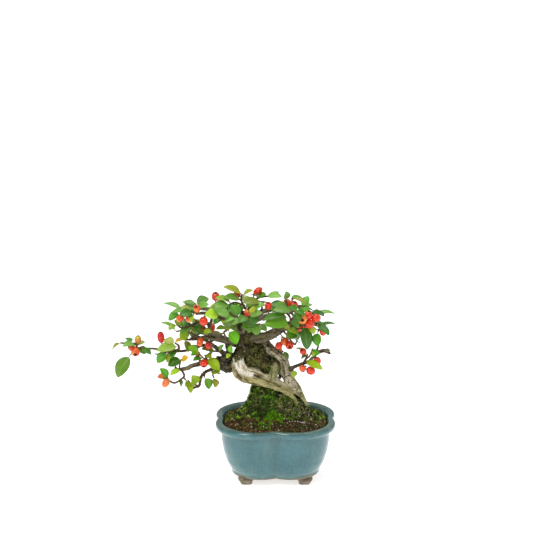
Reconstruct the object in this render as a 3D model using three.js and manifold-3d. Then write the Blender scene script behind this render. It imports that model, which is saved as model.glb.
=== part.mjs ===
// Wall cotoneaster bonsai: an old tree with bared roots on a mossy mound, in a glazed four-lobed pot.
// Millimetres, +Z up, +X to the right and +Y to the back as the tree is shown. The pot stands on z = 0.
import * as THREE from "three";
import { mergeVertices } from "three/addons/utils/BufferGeometryUtils.js";
import Module from "manifold-3d";

const wasm = await Module();
wasm.setup();

// Driving dimensions
const LIP_WIDTH = 110; // across the pot's rolled lip, left to right
const LIP_DEPTH = 86; // across the same lip, front to back
const AROUND = 28; // points round a lobed outline, a whole number for each of the four lobes
const GAP = 0.3; // clearance between pieces that touch
const BLADE_THICK = 0.7; // leaf blade
const BLADE_ARCH = 0.07; // how far a blade bows above its chord, as a share of its length
const STEM_RADIUS = [1.25, 0.95]; // a leafy stem at its foot and at its end
const FORK_RADIUS = [0.45, 1, 0.9]; // a stem that forks from another, with its foot inside that one
const STEM_SIDES = 3;
const STALK_RADIUS = 0.65; // a berry's stalk
const FORKED_STALK_RADIUS = 0.35; // the foot of a stalk that forks from another
const LEAF_STALK_RADIUS = [0.45, 0.32]; // a leaf's stalk, with its ends inside the stem and the blade
const SIDE_STEM_FROM = 2.6; // a leaf whose base is farther than this from its stem has a side stem
const CLEAR = 0.2; // least distance left between the blades of one spray and other pieces

// Places on the tree are given as [across, up, depth]: across and up are read in the upright plane through
// the pot's middle, as seen from the eye, and depth moves the point along that line of sight (+ is back).
const EYE = new THREE.Vector3(-8.2, -1600, 690);

function seen(across, up, depth) {
  const nearness = 1 - depth / EYE.y;
  return new THREE.Vector3(
    EYE.x + (across - EYE.x) * nearness,
    depth,
    EYE.z + (up - EYE.z) * nearness,
  );
}

// Seeded random numbers in 0..1
function randomFrom(seed) {
  let state = seed >>> 0;
  return () => {
    state = (state + 0x6d2b79f5) >>> 0;
    let t = Math.imul(state ^ (state >>> 15), state | 1);
    t = (t + Math.imul(t ^ (t >>> 7), t | 61)) ^ t;
    return ((t ^ (t >>> 14)) >>> 0) / 4294967296;
  };
}

// Solids and meshes
function solidOf(geometry) {
  const bare = geometry.clone();
  bare.deleteAttribute("normal");
  bare.deleteAttribute("uv");
  const merged = mergeVertices(bare, 1e-4);
  return new wasm.Manifold(
    new wasm.Mesh({
      numProp: 3,
      vertProperties: merged.attributes.position.array,
      triVerts: new Uint32Array(merged.index.array),
    }),
  );
}

function geometryOf(solid) {
  const mesh = solid.getMesh();
  const positions = new Float32Array(mesh.numVert * 3);
  for (let i = 0; i < mesh.numVert; i++) {
    positions.set(mesh.vertProperties.subarray(i * mesh.numProp, i * mesh.numProp + 3), i * 3);
  }
  const geometry = new THREE.BufferGeometry();
  geometry.setAttribute("position", new THREE.BufferAttribute(positions, 3));
  geometry.setIndex(new THREE.BufferAttribute(new Uint32Array(mesh.triVerts), 1));
  geometry.computeVertexNormals();
  return geometry;
}

function joined(solids) {
  return solids.reduce((all, one) => all.add(one));
}

function largestPiece(solid) {
  const pieces = solid.decompose();
  return pieces.reduce((best, piece) => (piece.volume() > best.volume() ? piece : best));
}

// A closed skin over rings of points. Rings either close on themselves end to start, or their ends are
// closed by fans round the middle of the first and the last ring.
function skin(rings, endless = false) {
  const sides = rings[0].length;
  const points = rings.flat();
  const faces = [];
  const spans = endless ? rings.length : rings.length - 1;
  for (let i = 0; i < spans; i++) {
    const low = i * sides;
    const high = ((i + 1) % rings.length) * sides;
    for (let j = 0; j < sides; j++) {
      const next = (j + 1) % sides;
      faces.push(low + j, low + next, high + j, low + next, high + next, high + j);
    }
  }
  if (!endless) {
    const last = (rings.length - 1) * sides;
    const foot = points.push(middleOf(rings[0])) - 1;
    const head = points.push(middleOf(rings.at(-1))) - 1;
    for (let j = 0; j < sides; j++) {
      const next = (j + 1) % sides;
      faces.push(foot, next, j, head, last + j, last + next);
    }
  }
  const geometry = new THREE.BufferGeometry().setFromPoints(points);
  geometry.setIndex(faces);
  return geometry;
}

function middleOf(ring) {
  const sum = new THREE.Vector3();
  ring.forEach((point) => sum.add(point));
  return sum.divideScalar(ring.length);
}

// Pot
// The outline is the outer edge of four equal ovals, one in each corner of a width by depth box. A lobe share
// is the circle's radius that the ovals come from, as a share of the width.
const LOBE_STRETCH = [1.13, 0.98]; // of that circle, across and deep

function lobedRing(width, depth, lobeShare, height) {
  const lobe = new THREE.Vector2(
    Math.min(LOBE_STRETCH[0] * lobeShare * width, width / 2),
    Math.min(LOBE_STRETCH[1] * lobeShare * width, depth / 2),
  );
  const corner = new THREE.Vector2(width / 2, depth / 2).divide(lobe).subScalar(1);
  const ring = [];
  for (let i = 0; i < AROUND; i++) {
    const angle = (2 * Math.PI * i) / AROUND;
    const ray = new THREE.Vector2(Math.abs(Math.cos(angle)), Math.abs(Math.sin(angle))).divide(lobe);
    const along = ray.dot(corner);
    const reach = (along + Math.sqrt(along ** 2 - ray.lengthSq() * (corner.lengthSq() - 1))) / ray.lengthSq();
    ring.push(new THREE.Vector3(Math.cos(angle) * reach, Math.sin(angle) * reach, height));
  }
  return ring;
}

// Rows of the pot's section: smaller than the lip across and deep, lobe share, height
const POT_ROWS = [
  [96, 72, 0.5, 6.8],
  [48, 42, 0.28, 6.8],
  [36, 32, 0.285, 6.2],
  [30.5, 26.5, 0.285, 7.6],
  [29, 25, 0.285, 9.6],
  [29.8, 25.8, 0.285, 11.3],
  [26.4, 22.6, 0.285, 13.8],
  [20.2, 17.6, 0.286, 20.4],
  [14.8, 13.4, 0.287, 30],
  [11.6, 11.2, 0.287, 40],
  [10.5, 10.5, 0.287, 48.5],
  [9.5, 9.5, 0.288, 50.4],
  [4, 4, 0.292, 51.2],
  [1, 1, 0.295, 52.6],
  [0, 0, 0.295, 55.3],
  [1.4, 1.4, 0.295, 57.1],
  [5, 5, 0.296, 57.8],
  [10, 10, 0.3, 57.5],
  [13.5, 13.5, 0.31, 56.2],
  [18, 18, 0.32, 50],
  [34, 32, 0.32, 20],
  [42, 38, 0.32, 12.6],
  [50, 46, 0.32, 12],
  [96, 72, 0.5, 12],
];
const FOOT_PLACE = [26.5, 19.5]; // middle of a foot, across and deep
// Rows of a foot, which flares into the pot: half across, half deep, middle set outwards by, height
const FOOT_ROWS = [
  [5, 4, 0, 0],
  [5.4, 4.4, 0, 1.2],
  [5.6, 4.6, 0.4, 3.6],
  [7, 5.4, 0.6, 6.2],
  [9.4, 6.6, 0, 8.4],
];
const FOOT_SIDES = 8;
const FOOT_SQUARENESS = 0.6; // power of the cosines in a squared oval: 1 would be a true oval
const WIRE_HOLES = [
  [-14, -11],
  [12, -11],
];
const WIRE_HOLE_RADIUS = 2.2;
const WIRE_HOLE_SIDES = 8;
const POT_FLOOR = [6.8, 12]; // underside and inside of the floor

function potGeometry() {
  const rings = POT_ROWS.map(([across, deep, lobe, height]) =>
    lobedRing(LIP_WIDTH - across, LIP_DEPTH - deep, lobe, height),
  );
  let pot = solidOf(skin(rings, true));
  for (const sideX of [-1, 1]) {
    for (const sideY of [-1, 1]) {
      pot = pot.add(solidOf(footGeometry(sideX, sideY)));
    }
  }
  for (const [x, y] of WIRE_HOLES) {
    const depth = 2 * (POT_FLOOR[1] - POT_FLOOR[0]);
    const hole = new THREE.CylinderGeometry(WIRE_HOLE_RADIUS, WIRE_HOLE_RADIUS, depth, WIRE_HOLE_SIDES);
    hole.rotateX(Math.PI / 2).translate(x, y, (POT_FLOOR[0] + POT_FLOOR[1]) / 2);
    pot = pot.subtract(solidOf(hole));
  }
  return geometryOf(pot);
}

function footGeometry(sideX, sideY) {
  const rings = FOOT_ROWS.map(([half, halfDeep, outwards, height]) => {
    const ring = [];
    for (let i = 0; i < FOOT_SIDES; i++) {
      const angle = (2 * Math.PI * i) / FOOT_SIDES;
      const x = Math.sign(Math.cos(angle)) * Math.abs(Math.cos(angle)) ** FOOT_SQUARENESS;
      const y = Math.sign(Math.sin(angle)) * Math.abs(Math.sin(angle)) ** FOOT_SQUARENESS;
      ring.push(
        new THREE.Vector3(
          sideX * (FOOT_PLACE[0] + outwards) + half * x,
          sideY * (FOOT_PLACE[1] + outwards) + halfDeep * y,
          height,
        ),
      );
    }
    return ring;
  });
  return skin(rings);
}

// Soil, drainage screen and anchor wire
const SOIL_ROWS = [
  [42.8, 38.8, 0.319, 13.4],
  [34.8, 32.8, 0.319, 20],
  [23, 22.8, 0.319, 42],
  [18.8, 18.8, 0.319, 50],
  [16, 16, 0.312, 54],
  [26, 24, 0.315, 55.4],
  [38, 30, 0.33, 56.2],
];
const SCREEN = { width: 20, thick: 0.8, slots: 2, slot: 7, behindHoles: 3 };
const WIRE_RADIUS = 0.6;
const WIRE_STEPS = 28;
const WIRE_ROUTE = [
  [-3, -11, 4.4],
  [-10.5, -11, 4.4],
  [-13.5, -11, 5.4],
  [-14, -11, 9],
  [-14.5, -12, 20],
  [-15.5, -15.5, 42],
  [-16, -17, 54],
  [-13, -17.4, 59.4],
  [-4, -17.6, 59.8],
  [6, -17.4, 59.2],
  [9.5, -17, 54],
  [10, -15.5, 42],
  [12, -12, 20],
  [12, -11, 9],
  [11.5, -11, 5.4],
  [8.5, -11, 4.4],
  [2, -11, 4.4],
];

function wireGeometry(extra = 0) {
  const route = new THREE.CatmullRomCurve3(WIRE_ROUTE.map((p) => new THREE.Vector3(...p)));
  const round = new THREE.Shape();
  round.absarc(0, 0, WIRE_RADIUS + extra, 0, 2 * Math.PI);
  return new THREE.ExtrudeGeometry(round, { steps: WIRE_STEPS, curveSegments: 3, extrudePath: route });
}

function soilGeometry() {
  const rings = SOIL_ROWS.map(([across, deep, lobe, height]) =>
    lobedRing(LIP_WIDTH - across, LIP_DEPTH - deep, lobe, height),
  );
  return geometryOf(solidOf(skin(rings)).subtract(solidOf(wireGeometry(GAP))));
}

function screenGeometry() {
  const middleY = WIRE_HOLES[0][1] + SCREEN.behindHoles + SCREEN.width / 2;
  const height = POT_FLOOR[1] + GAP + SCREEN.thick / 2;
  const place = (box, x, y) => solidOf(box.translate(x, middleY + y, height));
  let sheet = place(new THREE.BoxGeometry(SCREEN.width, SCREEN.width, SCREEN.thick), 0, 0);
  const pitch = SCREEN.width / SCREEN.slots;
  for (let i = 0; i < SCREEN.slots; i++) {
    for (let j = 0; j < SCREEN.slots; j++) {
      const slot = new THREE.BoxGeometry(SCREEN.slot, SCREEN.slot, 3 * SCREEN.thick);
      const [x, y] = [i, j].map((step) => (step + 0.5 - SCREEN.slots / 2) * pitch);
      sheet = sheet.subtract(place(slot, x, y));
    }
  }
  return geometryOf(sheet);
}

// Wood
// Each limb is a run of [across, up, depth, radius]. Roots are pale and smooth, the old trunk is rough.
const LIMBS = {
  trunk: [[-8, 84, 3, 9], [-9, 94, 5, 9.5], [-8.5, 104, 6, 12], [-11, 112, 6, 15.5], [-18.5, 121, 5, 15],
    [-26, 129, 4, 11], [-28, 137, 3, 8], [-29, 145, 3, 6.4], [-27, 153, 3, 4.6], [-23, 161, 4, 3],
    [-20, 168, 5, 1.7]],
  leftStem: [[-30, 124, -3, 4.4], [-33.5, 118, -6, 5], [-33.8, 112, -7.5, 5], [-31, 105.8, -8, 5],
    [-26.5, 100.8, -8, 4.8], [-20.5, 98.5, -8.5, 4]],
  upperStrand: [[-27, 104, -7, 4.2], [-19.6, 102, -8.4, 2.7], [-11.3, 98.2, -9, 2.4], [-3.6, 95.4, -9.5, 2.3],
    [3.4, 92, -9.5, 2], [9.5, 87.6, -9, 1.8], [21, 79, -6.5, 1.5], [26, 74, -4, 1.4], [28.5, 69, -2, 1.3]],
  lowerStrand: [[-27, 98, -8, 4], [-22, 94, -10, 4.1], [-15.5, 91.8, -11.6, 3.8], [-7, 89.7, -12.5, 3.3],
    [-0.5, 87.2, -13, 2.9], [5, 85.2, -12.5, 2.5], [10, 81.4, -11.5, 2.2], [15, 77.6, -10, 1.9],
    [18, 73.6, -8, 1.6], [19.4, 69.5, -6, 1.3]],
  rootLoop: [[-36, 109, -7, 3], [-36.6, 103.6, -7, 2.7], [-34.8, 98.8, -7, 2.7], [-31, 95.2, -7.5, 2.7],
    [-27, 93, -8.5, 2.6], [-21, 92, -10, 2.4]],
  rightStem: [[-9, 127.5, 0, 4], [-3.6, 122.6, -5, 4.1], [2.7, 117.8, -6, 4], [7.2, 113.2, -6, 3.9],
    [9, 107, -6, 4.2], [9.6, 100, -5, 4.8], [12, 94.6, -5, 5], [16, 89.4, -4.5, 4.8], [20.5, 84.2, -3.5, 3.7],
    [24, 79, -2, 2], [27.4, 72.5, 0, 1.4], [29.4, 67, 1, 1.2]],
  shoulder: [[-10, 119, 2, 7], [-3, 115.5, 0, 5.6], [1.5, 110.5, -1, 4.6], [0.5, 104.5, -2, 4.2]],
  stub: [[-1, 109, -5, 2.5], [-1, 104, -7, 3.6], [-1.8, 99.5, -8.5, 3.8], [-3, 96, -9.5, 3.2]],
  knob: [[-29, 113, 0, 6], [-37, 111, 1, 7.4], [-43.5, 110, 1, 8], [-49, 111, 0, 6.6], [-52.6, 113, -1, 4]],
  knobRiser: [[-40.5, 114, 0, 3.6], [-42, 121, -1, 3.1], [-43, 127, -2, 2.8], [-41, 131.5, -2.5, 2.8]],
  rightBranch: [[-22, 133, 1, 6], [-12, 134.5, -2, 4.8], [-4, 136.5, -5, 4], [3, 140, -8, 3],
    [15, 147.5, -12, 1.8], [20, 150, -14, 1.5]],
  rightHigh: [[9, 144, -10, 1.8], [17, 154, -8, 1.5], [24, 160, -4, 1.2], [30, 161, -2, 1]],
  rightLow: [[9, 104, -6, 2.2], [14, 105, -9, 1.9], [24, 109, -14, 1.5], [29.5, 111, -14, 1.4],
    [34, 115.5, -14, 1.3], [38, 119.5, -14, 1.5], [43, 121.8, -14, 1.8], [47, 120.5, -14, 1.5],
    [50, 118.7, -14, 1]],
  leftLow: [[-46, 109, 0, 4], [-53, 111, -3, 2.9], [-64, 110, -9, 2.2], [-76, 107, -12, 2],
    [-80, 104.8, -13, 2], [-89, 103.6, -14, 1.5], [-91.5, 106.5, -14, 1.1]],
  leftDrop: [[-46, 107, -1, 3], [-53, 106, -4, 1.9]],
  greyBranch: [[-32, 128.5, 1, 4], [-38, 129, -1, 3.4], [-50, 132, -8, 2.4], [-62, 134.5, -11, 2],
    [-68, 134.2, -11, 1.6], [-73, 136, -11, 1.4], [-79, 139.5, -11, 1.1]],
  leftRiser: [[-59, 133.5, -10, 1.8], [-60, 142, -8, 1.6], [-58, 150, -5, 1.4], [-55, 163, 2, 1]],
  leftHigh: [[-45, 113, 0, 3], [-47, 119, 0, 2.6], [-55, 125.5, -3, 1.9], [-64, 132, -7, 1.5],
    [-72, 134.5, -8, 1.2], [-77, 133.3, -8, 1]],
  farLeft: [[-58, 127.5, -4, 1.7], [-68, 126.5, -8, 1.5], [-76, 123, -9, 1.4], [-92, 121, -8, 1.2],
    [-110.5, 123.7, -3, 1.05], [-119, 123.5, 0, 1]],
  crownLeftBack: [[-28, 143, 4, 4], [-38, 150, 10, 3], [-58, 160, 22, 1.7], [-68, 162, 24, 1.2]],
  crownLeftFront: [[-30, 140, -1, 3.6], [-40, 148, -14, 2.8], [-62, 157, -30, 1.6], [-72, 157, -32, 1.2]],
  crownRightFront: [[-26, 146, -1, 3.4], [-16, 152, -14, 2.6], [-4, 156, -24, 2], [16, 160, -30, 1.1]],
  crownRightBack: [[-24, 152, 5, 3], [-12, 159, 16, 2.4], [14, 164, 28, 1.3], [24, 163, 30, 1]],
  crownFront: [[-28, 141, -4, 3], [-27, 147, -18, 2.2], [-30, 150, -31, 1.6], [-34, 150, -42, 1.1]],
  crownBack: [[-25, 148, 8, 3], [-28, 155, 22, 2.2], [-32, 158, 36, 1.6], [-36, 157, 48, 1.1]],
  backLeft: [[-32, 129, 5, 3.6], [-38, 130, 6, 2.8], [-50, 135, 18, 2.2], [-62, 139, 28, 1.6],
    [-74, 140, 34, 1.2]],
  backRight: [[-10, 135.5, -1, 3.4], [4, 144, 14, 2.2], [14, 148, 24, 1.6], [24, 149, 30, 1.2]],
};
const ROUGH_LIMBS = { trunk: 0.07, knob: 0.12, leftStem: 0.03, rightStem: 0.03 };
const FLUTES = 5; // lengthwise swellings round a rough limb
const FLUTE_TWIST = 9; // radians that they wind in each step along it
const RING_START = new THREE.Vector3(0.31, 0.87, 0.38); // across any limb: none runs this way
const LIMB_SIDES = { trunk: 9, leftStem: 7, rightStem: 7, knob: 7, upperStrand: 6, lowerStrand: 6 };
const TWIG_SIDES = 5;
const SHORT_LIMB = 6; // a limb of fewer rows than this has more steps than rows, by the next share
const SHORT_LIMB_STEPS = 1.3;

// A limb is a cylinder whose rings are carried along a smooth curve, each with its own radius.
function limbSolid(rows, sides, steps, extra = 0, rough = 0) {
  const curve = new THREE.CatmullRomCurve3(
    rows.map((row) => seen(row[0], row[1], row[2])),
    false,
    "catmullrom",
  );
  const radii = rows.map((row) => row[3]);
  return tubeSolid(curve, radii, sides, steps, extra, rough);
}

function tubeSolid(curve, radii, sides, steps, extra = 0, rough = 0) {
  const tube = new THREE.CylinderGeometry(1, 1, 1, sides, steps);
  const position = tube.attributes.position;
  for (let i = 0; i < position.count; i++) {
    const share = 0.5 - position.getY(i);
    const place = Math.min(share * (radii.length - 1), radii.length - 1.000001);
    const before = Math.floor(place);
    const radius = THREE.MathUtils.lerp(radii[before], radii[before + 1], place - before) + extra;
    const along = curve.getTangent(share);
    const side = new THREE.Vector3().crossVectors(along, RING_START).normalize();
    const front = new THREE.Vector3().crossVectors(along, side);
    const angle = Math.atan2(position.getZ(i), position.getX(i));
    const bump = 1 + rough * Math.sin(FLUTES * angle + FLUTE_TWIST * share * steps);
    const point = curve.getPoint(share);
    point.addScaledVector(side, position.getX(i) * radius * bump);
    point.addScaledVector(front, position.getZ(i) * radius * bump);
    position.setXYZ(i, point.x, point.y, point.z);
  }
  return solidOf(tube);
}

function woodSolid(extra = 0) {
  const limbs = Object.entries(LIMBS).map(([name, rows]) => {
    const steps = Math.ceil((rows.length - 1) * (rows.length < SHORT_LIMB ? SHORT_LIMB_STEPS : 1));
    return limbSolid(rows, LIMB_SIDES[name] ?? TWIG_SIDES, steps, extra, ROUGH_LIMBS[name] ?? 0);
  });
  return joined(limbs);
}

// Moss mound: half-widths round a middle that shifts with height, [left, right, front, back, height]
const MOUND_ROWS = [
  [-41, 42, -15.5, 27, 56.6],
  [-35, 37, -13, 23, 60.4],
  [-30.5, 31.5, -11.7, 18.6, 66],
  [-27, 27.5, -11, 16, 72],
  [-25, 22, -10.5, 14.5, 78],
  [-23.5, 15, -10, 13.5, 84],
  [-22.5, 6, -9, 12, 89],
  [-20, 0, -6, 9, 92],
];
const MOUND_SIDES = 18;
const MOUND_BUMP = 0.6;
const MOUND_WAVES = [3.1, 2.3]; // radians of its bumps from point to point and from row to row

function moundSolid() {
  const rings = MOUND_ROWS.map(([left, right, front, back, height], row) => {
    const ring = [];
    for (let i = 0; i < MOUND_SIDES; i++) {
      const angle = (2 * Math.PI * i) / MOUND_SIDES;
      const bump = MOUND_BUMP * Math.sin(MOUND_WAVES[0] * i + MOUND_WAVES[1] * row);
      ring.push(
        new THREE.Vector3(
          (left + right) / 2 + ((right - left) / 2 + bump) * Math.cos(angle),
          (front + back) / 2 + ((back - front) / 2 + bump) * Math.sin(angle),
          height,
        ),
      );
    }
    return ring;
  });
  return solidOf(skin(rings));
}

// Berries
// A berry and its stalk are one tube: after the stalk come the rings of a short egg with a flat eye, as
// [distance from the stalk end as a share of the length, radius as a share of half the width].
const BERRY_RINGS = [[0.24, 0.8], [0.66, 0.98], [1, 0.42]];
const BERRY_SIDES = 5;

// Each bunch hangs from a point of a twig. Its berries are [across, up, depth, length, width] with the
// direction from stalk to eye as [right, up, back].
const BUNCHES = {
  berries_far_left: { from: [-124, 124.5, 1], berries: [
    [-124.5, 132.5, 0, 7.5, 6, [0, 1, 0]], [-130.5, 124.7, -3, 6.5, 6, [-1, 0.2, -0.3]],
    [-127, 120.5, -6, 8, 8, [0, -0.3, -1]]] },
  berry_far_left_upright: { from: [-102, 122.8, -5.5], berries: [
    [-103.7, 134.5, -5, 10.5, 6.5, [-0.1, 1, 0]]] },
  berry_left_low: { from: [-96.5, 93, -17], berries: [[-100, 90.6, -19, 8.5, 6.5, [-0.5, -0.8, -0.3]]] },
  berry_left_branch: { from: [-64, 110, -9], berries: [[-65.2, 109.6, -16, 7.5, 7.2, [0, -0.7, -0.8]]] },
  berries_left_twig: { from: [-64.4, 131.9, -7.2], berries: [
    [-68.5, 130, -13, 8.5, 6, [-0.3, -0.8, -0.5]], [-61, 126.6, -12, 6.2, 6, [0.3, -1, -0.1]]] },
  berry_left_small: { from: [-72, 125, -8.5], berries: [[-70.5, 118.5, -12, 5, 4.6, [0, -1, -0.3]]] },
  berry_crown_left: { from: [-69, 157, -31.5], berries: [[-71, 161.8, -36, 7, 6.8, [-0.2, 0.7, -0.6]]] },
  berry_crown_left_low: { from: [-62, 157, -30], berries: [[-65, 150, -33, 8, 7.6, [-0.1, -1, -0.2]]] },
  berries_crown_left_end: { from: [-81, 158.4, -29.6], berries: [
    [-78, 152.4, -33, 7, 6.4, [0.3, -1, -0.3]], [-86.5, 152.6, -31, 6.5, 6, [-0.8, -0.6, 0]]] },
  berries_crown_top_left: { from: [-55, 162, 1.4], berries: [
    [-54, 173.5, 3, 8, 7.4, [0, 1, -0.2]], [-50.5, 167, -1, 6.5, 6, [0.6, 0.7, -0.3]]] },
  berry_crown_front: { from: [-32, 150, -36.5], berries: [[-37, 151.8, -42, 7.5, 7, [-0.7, 0.4, -0.6]]] },
  berry_crown_top: { from: [-30, 168, 8], berries: [[-34.5, 175.5, 9, 7, 6.6, [-0.2, 1, 0]]] },
  berry_crown_centre: { from: [-28.6, 149, -27], berries: [[-25, 158, -31, 7.2, 7, [0.2, 1, -0.3]]] },
  berry_apex: { from: [-20.6, 166, 4.7], berries: [[-16, 178.6, 5, 9, 6, [0.8, 0.6, 0]]] },
  berries_crown_right: { from: [19, 156, -7], berries: [
    [16.5, 165, -10, 8, 7.6, [0.2, 1, -0.4]], [10.5, 167.5, -4, 7, 6.5, [-0.6, 0.8, 0]]] },
  berry_crown_right_inner: { from: [-6, 155.5, -23], berries: [[-6.5, 164.5, -26, 7, 6.6, [0, 1, -0.3]]] },
  berries_crown_right_low: { from: [3, 157.6, -26.4], berries: [
    [1.5, 153.2, -32, 6.5, 6, [-0.3, -0.8, -0.6]], [6.5, 153.4, -31, 6.5, 6, [0.4, -0.9, -0.3]]] },
  berries_right_cluster: { from: [25, 149.6, -13.8], berries: [
    [24, 152, -21, 9.5, 9, [0, 0.1, -1]], [29.3, 155.4, -15, 8, 7.4, [0.2, 1, 0]],
    [36.5, 153, -14, 8, 7.4, [1, 0.1, 0]], [31, 147.4, -17, 8, 7.6, [0.3, -1, -0.2]]] },
  berry_right_end: { from: [39, 146.3, -13], berries: [[42.8, 139.6, -15, 6.5, 6, [0.3, -1, 0]]] },
  berries_right_middle: { from: [3, 139.9, -8], berries: [
    [3, 126.5, -13, 7, 6.5, [-0.5, -0.8, -0.2]], [9, 130.4, -13, 7.4, 7, [0.2, -1, 0]],
    [12.6, 127, -19, 8, 7.5, [0.1, -0.2, -1]]] },
  berry_right_low_high: { from: [27.6, 115.4, -14.5], berries: [[25, 121, -18, 6.5, 6, [-0.4, 0.6, -0.6]]] },
  berry_right_low_end: { from: [34.5, 116, -14], berries: [[38, 112, -17, 7, 6.5, [0.3, -0.9, -0.3]]] },
  berries_right_low: { from: [22.5, 108.4, -13.3], berries: [
    [32, 102.5, -15, 8, 7.5, [0.9, -0.3, -0.1]], [24.6, 104.6, -18, 6.5, 6, [0.3, -0.7, -0.6]]] },
  berries_back_left: { from: [-60, 138.6, 26.5], berries: [
    [-58, 144, 33, 8, 7.4, [0, 0.6, 0.7]], [-66, 143, 32, 7, 6.6, [-0.5, 0.8, 0.3]]] },
  berry_back_crown: { from: [-33, 157.8, 40], berries: [[-36, 150, 49, 8, 7.4, [-0.2, -1, 0.4]]] },
  berries_back_right: { from: [22, 149, 29], berries: [
    [27, 145, 34, 7.6, 7, [0.5, -0.5, 0.6]], [21, 142.6, 33, 7, 6.6, [-0.1, -1, 0.3]]] },
  berry_back_high: { from: [2, 161.6, 22.5], berries: [[-1, 162, 32, 7.6, 7, [-0.2, 0.3, 1]]] },
};
const BUNCH_SHIFTS = [0, -2, 2, -4, 4, -6, 6, -9, 9];
const BUNCH_STARTS = { least: 0.6, most: 6, step: 0.2 }; // a stalk's foot from the middle of its twig
const FORK_REACH = 2.4; // from the foot of a bunch's stalk to where its stalks part

function directionOf([right, up, back]) {
  return new THREE.Vector3(right, back, up).normalize();
}

function rodSolid(from, to, radii) {
  return tubeSolid(new THREE.LineCurve3(from, to), radii, STEM_SIDES, 1);
}

function berrySolid(stalk, footRadius, direction, length, width) {
  const points = [...stalk];
  const end = stalk.at(-1);
  const radii = stalk.map((_, i) => (i === 0 ? footRadius : STALK_RADIUS));
  for (const [along, out] of BERRY_RINGS) {
    points.push(end.clone().addScaledVector(direction, along * length));
    radii.push((out * width) / 2);
  }
  const curve = new THREE.CatmullRomCurve3(points, false, "catmullrom");
  return tubeSolid(curve, radii, BERRY_SIDES, points.length - 1);
}

// The bunch as it is when its stalk starts a given distance out from the middle of its twig, with its berries
// moved along the line of sight
function bunchSolid({ from, berries }, start, shift) {
  const twig = seen(...from);
  const made = berries.map(([across, up, depth, length, width, towards]) => {
    const direction = directionOf(towards);
    const end = seen(across, up, depth + shift).addScaledVector(direction, -0.5 * length);
    return { direction, length, width, end };
  });
  const outward = middleOf(made.map((berry) => berry.end)).sub(twig);
  const foot = outward.clone().setLength(start).add(twig);
  const fork = outward.setLength(start + FORK_REACH).add(twig);
  const solids = made.map(({ end, direction, length, width }, i) => {
    const stalk = made.length === 1 ? [foot] : i === 0 ? [foot, fork] : [fork];
    const footRadius = i === 0 ? STALK_RADIUS : FORKED_STALK_RADIUS;
    return berrySolid([...stalk, end], footRadius, direction, length, width);
  });
  return largestPiece(joined(solids));
}

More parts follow.
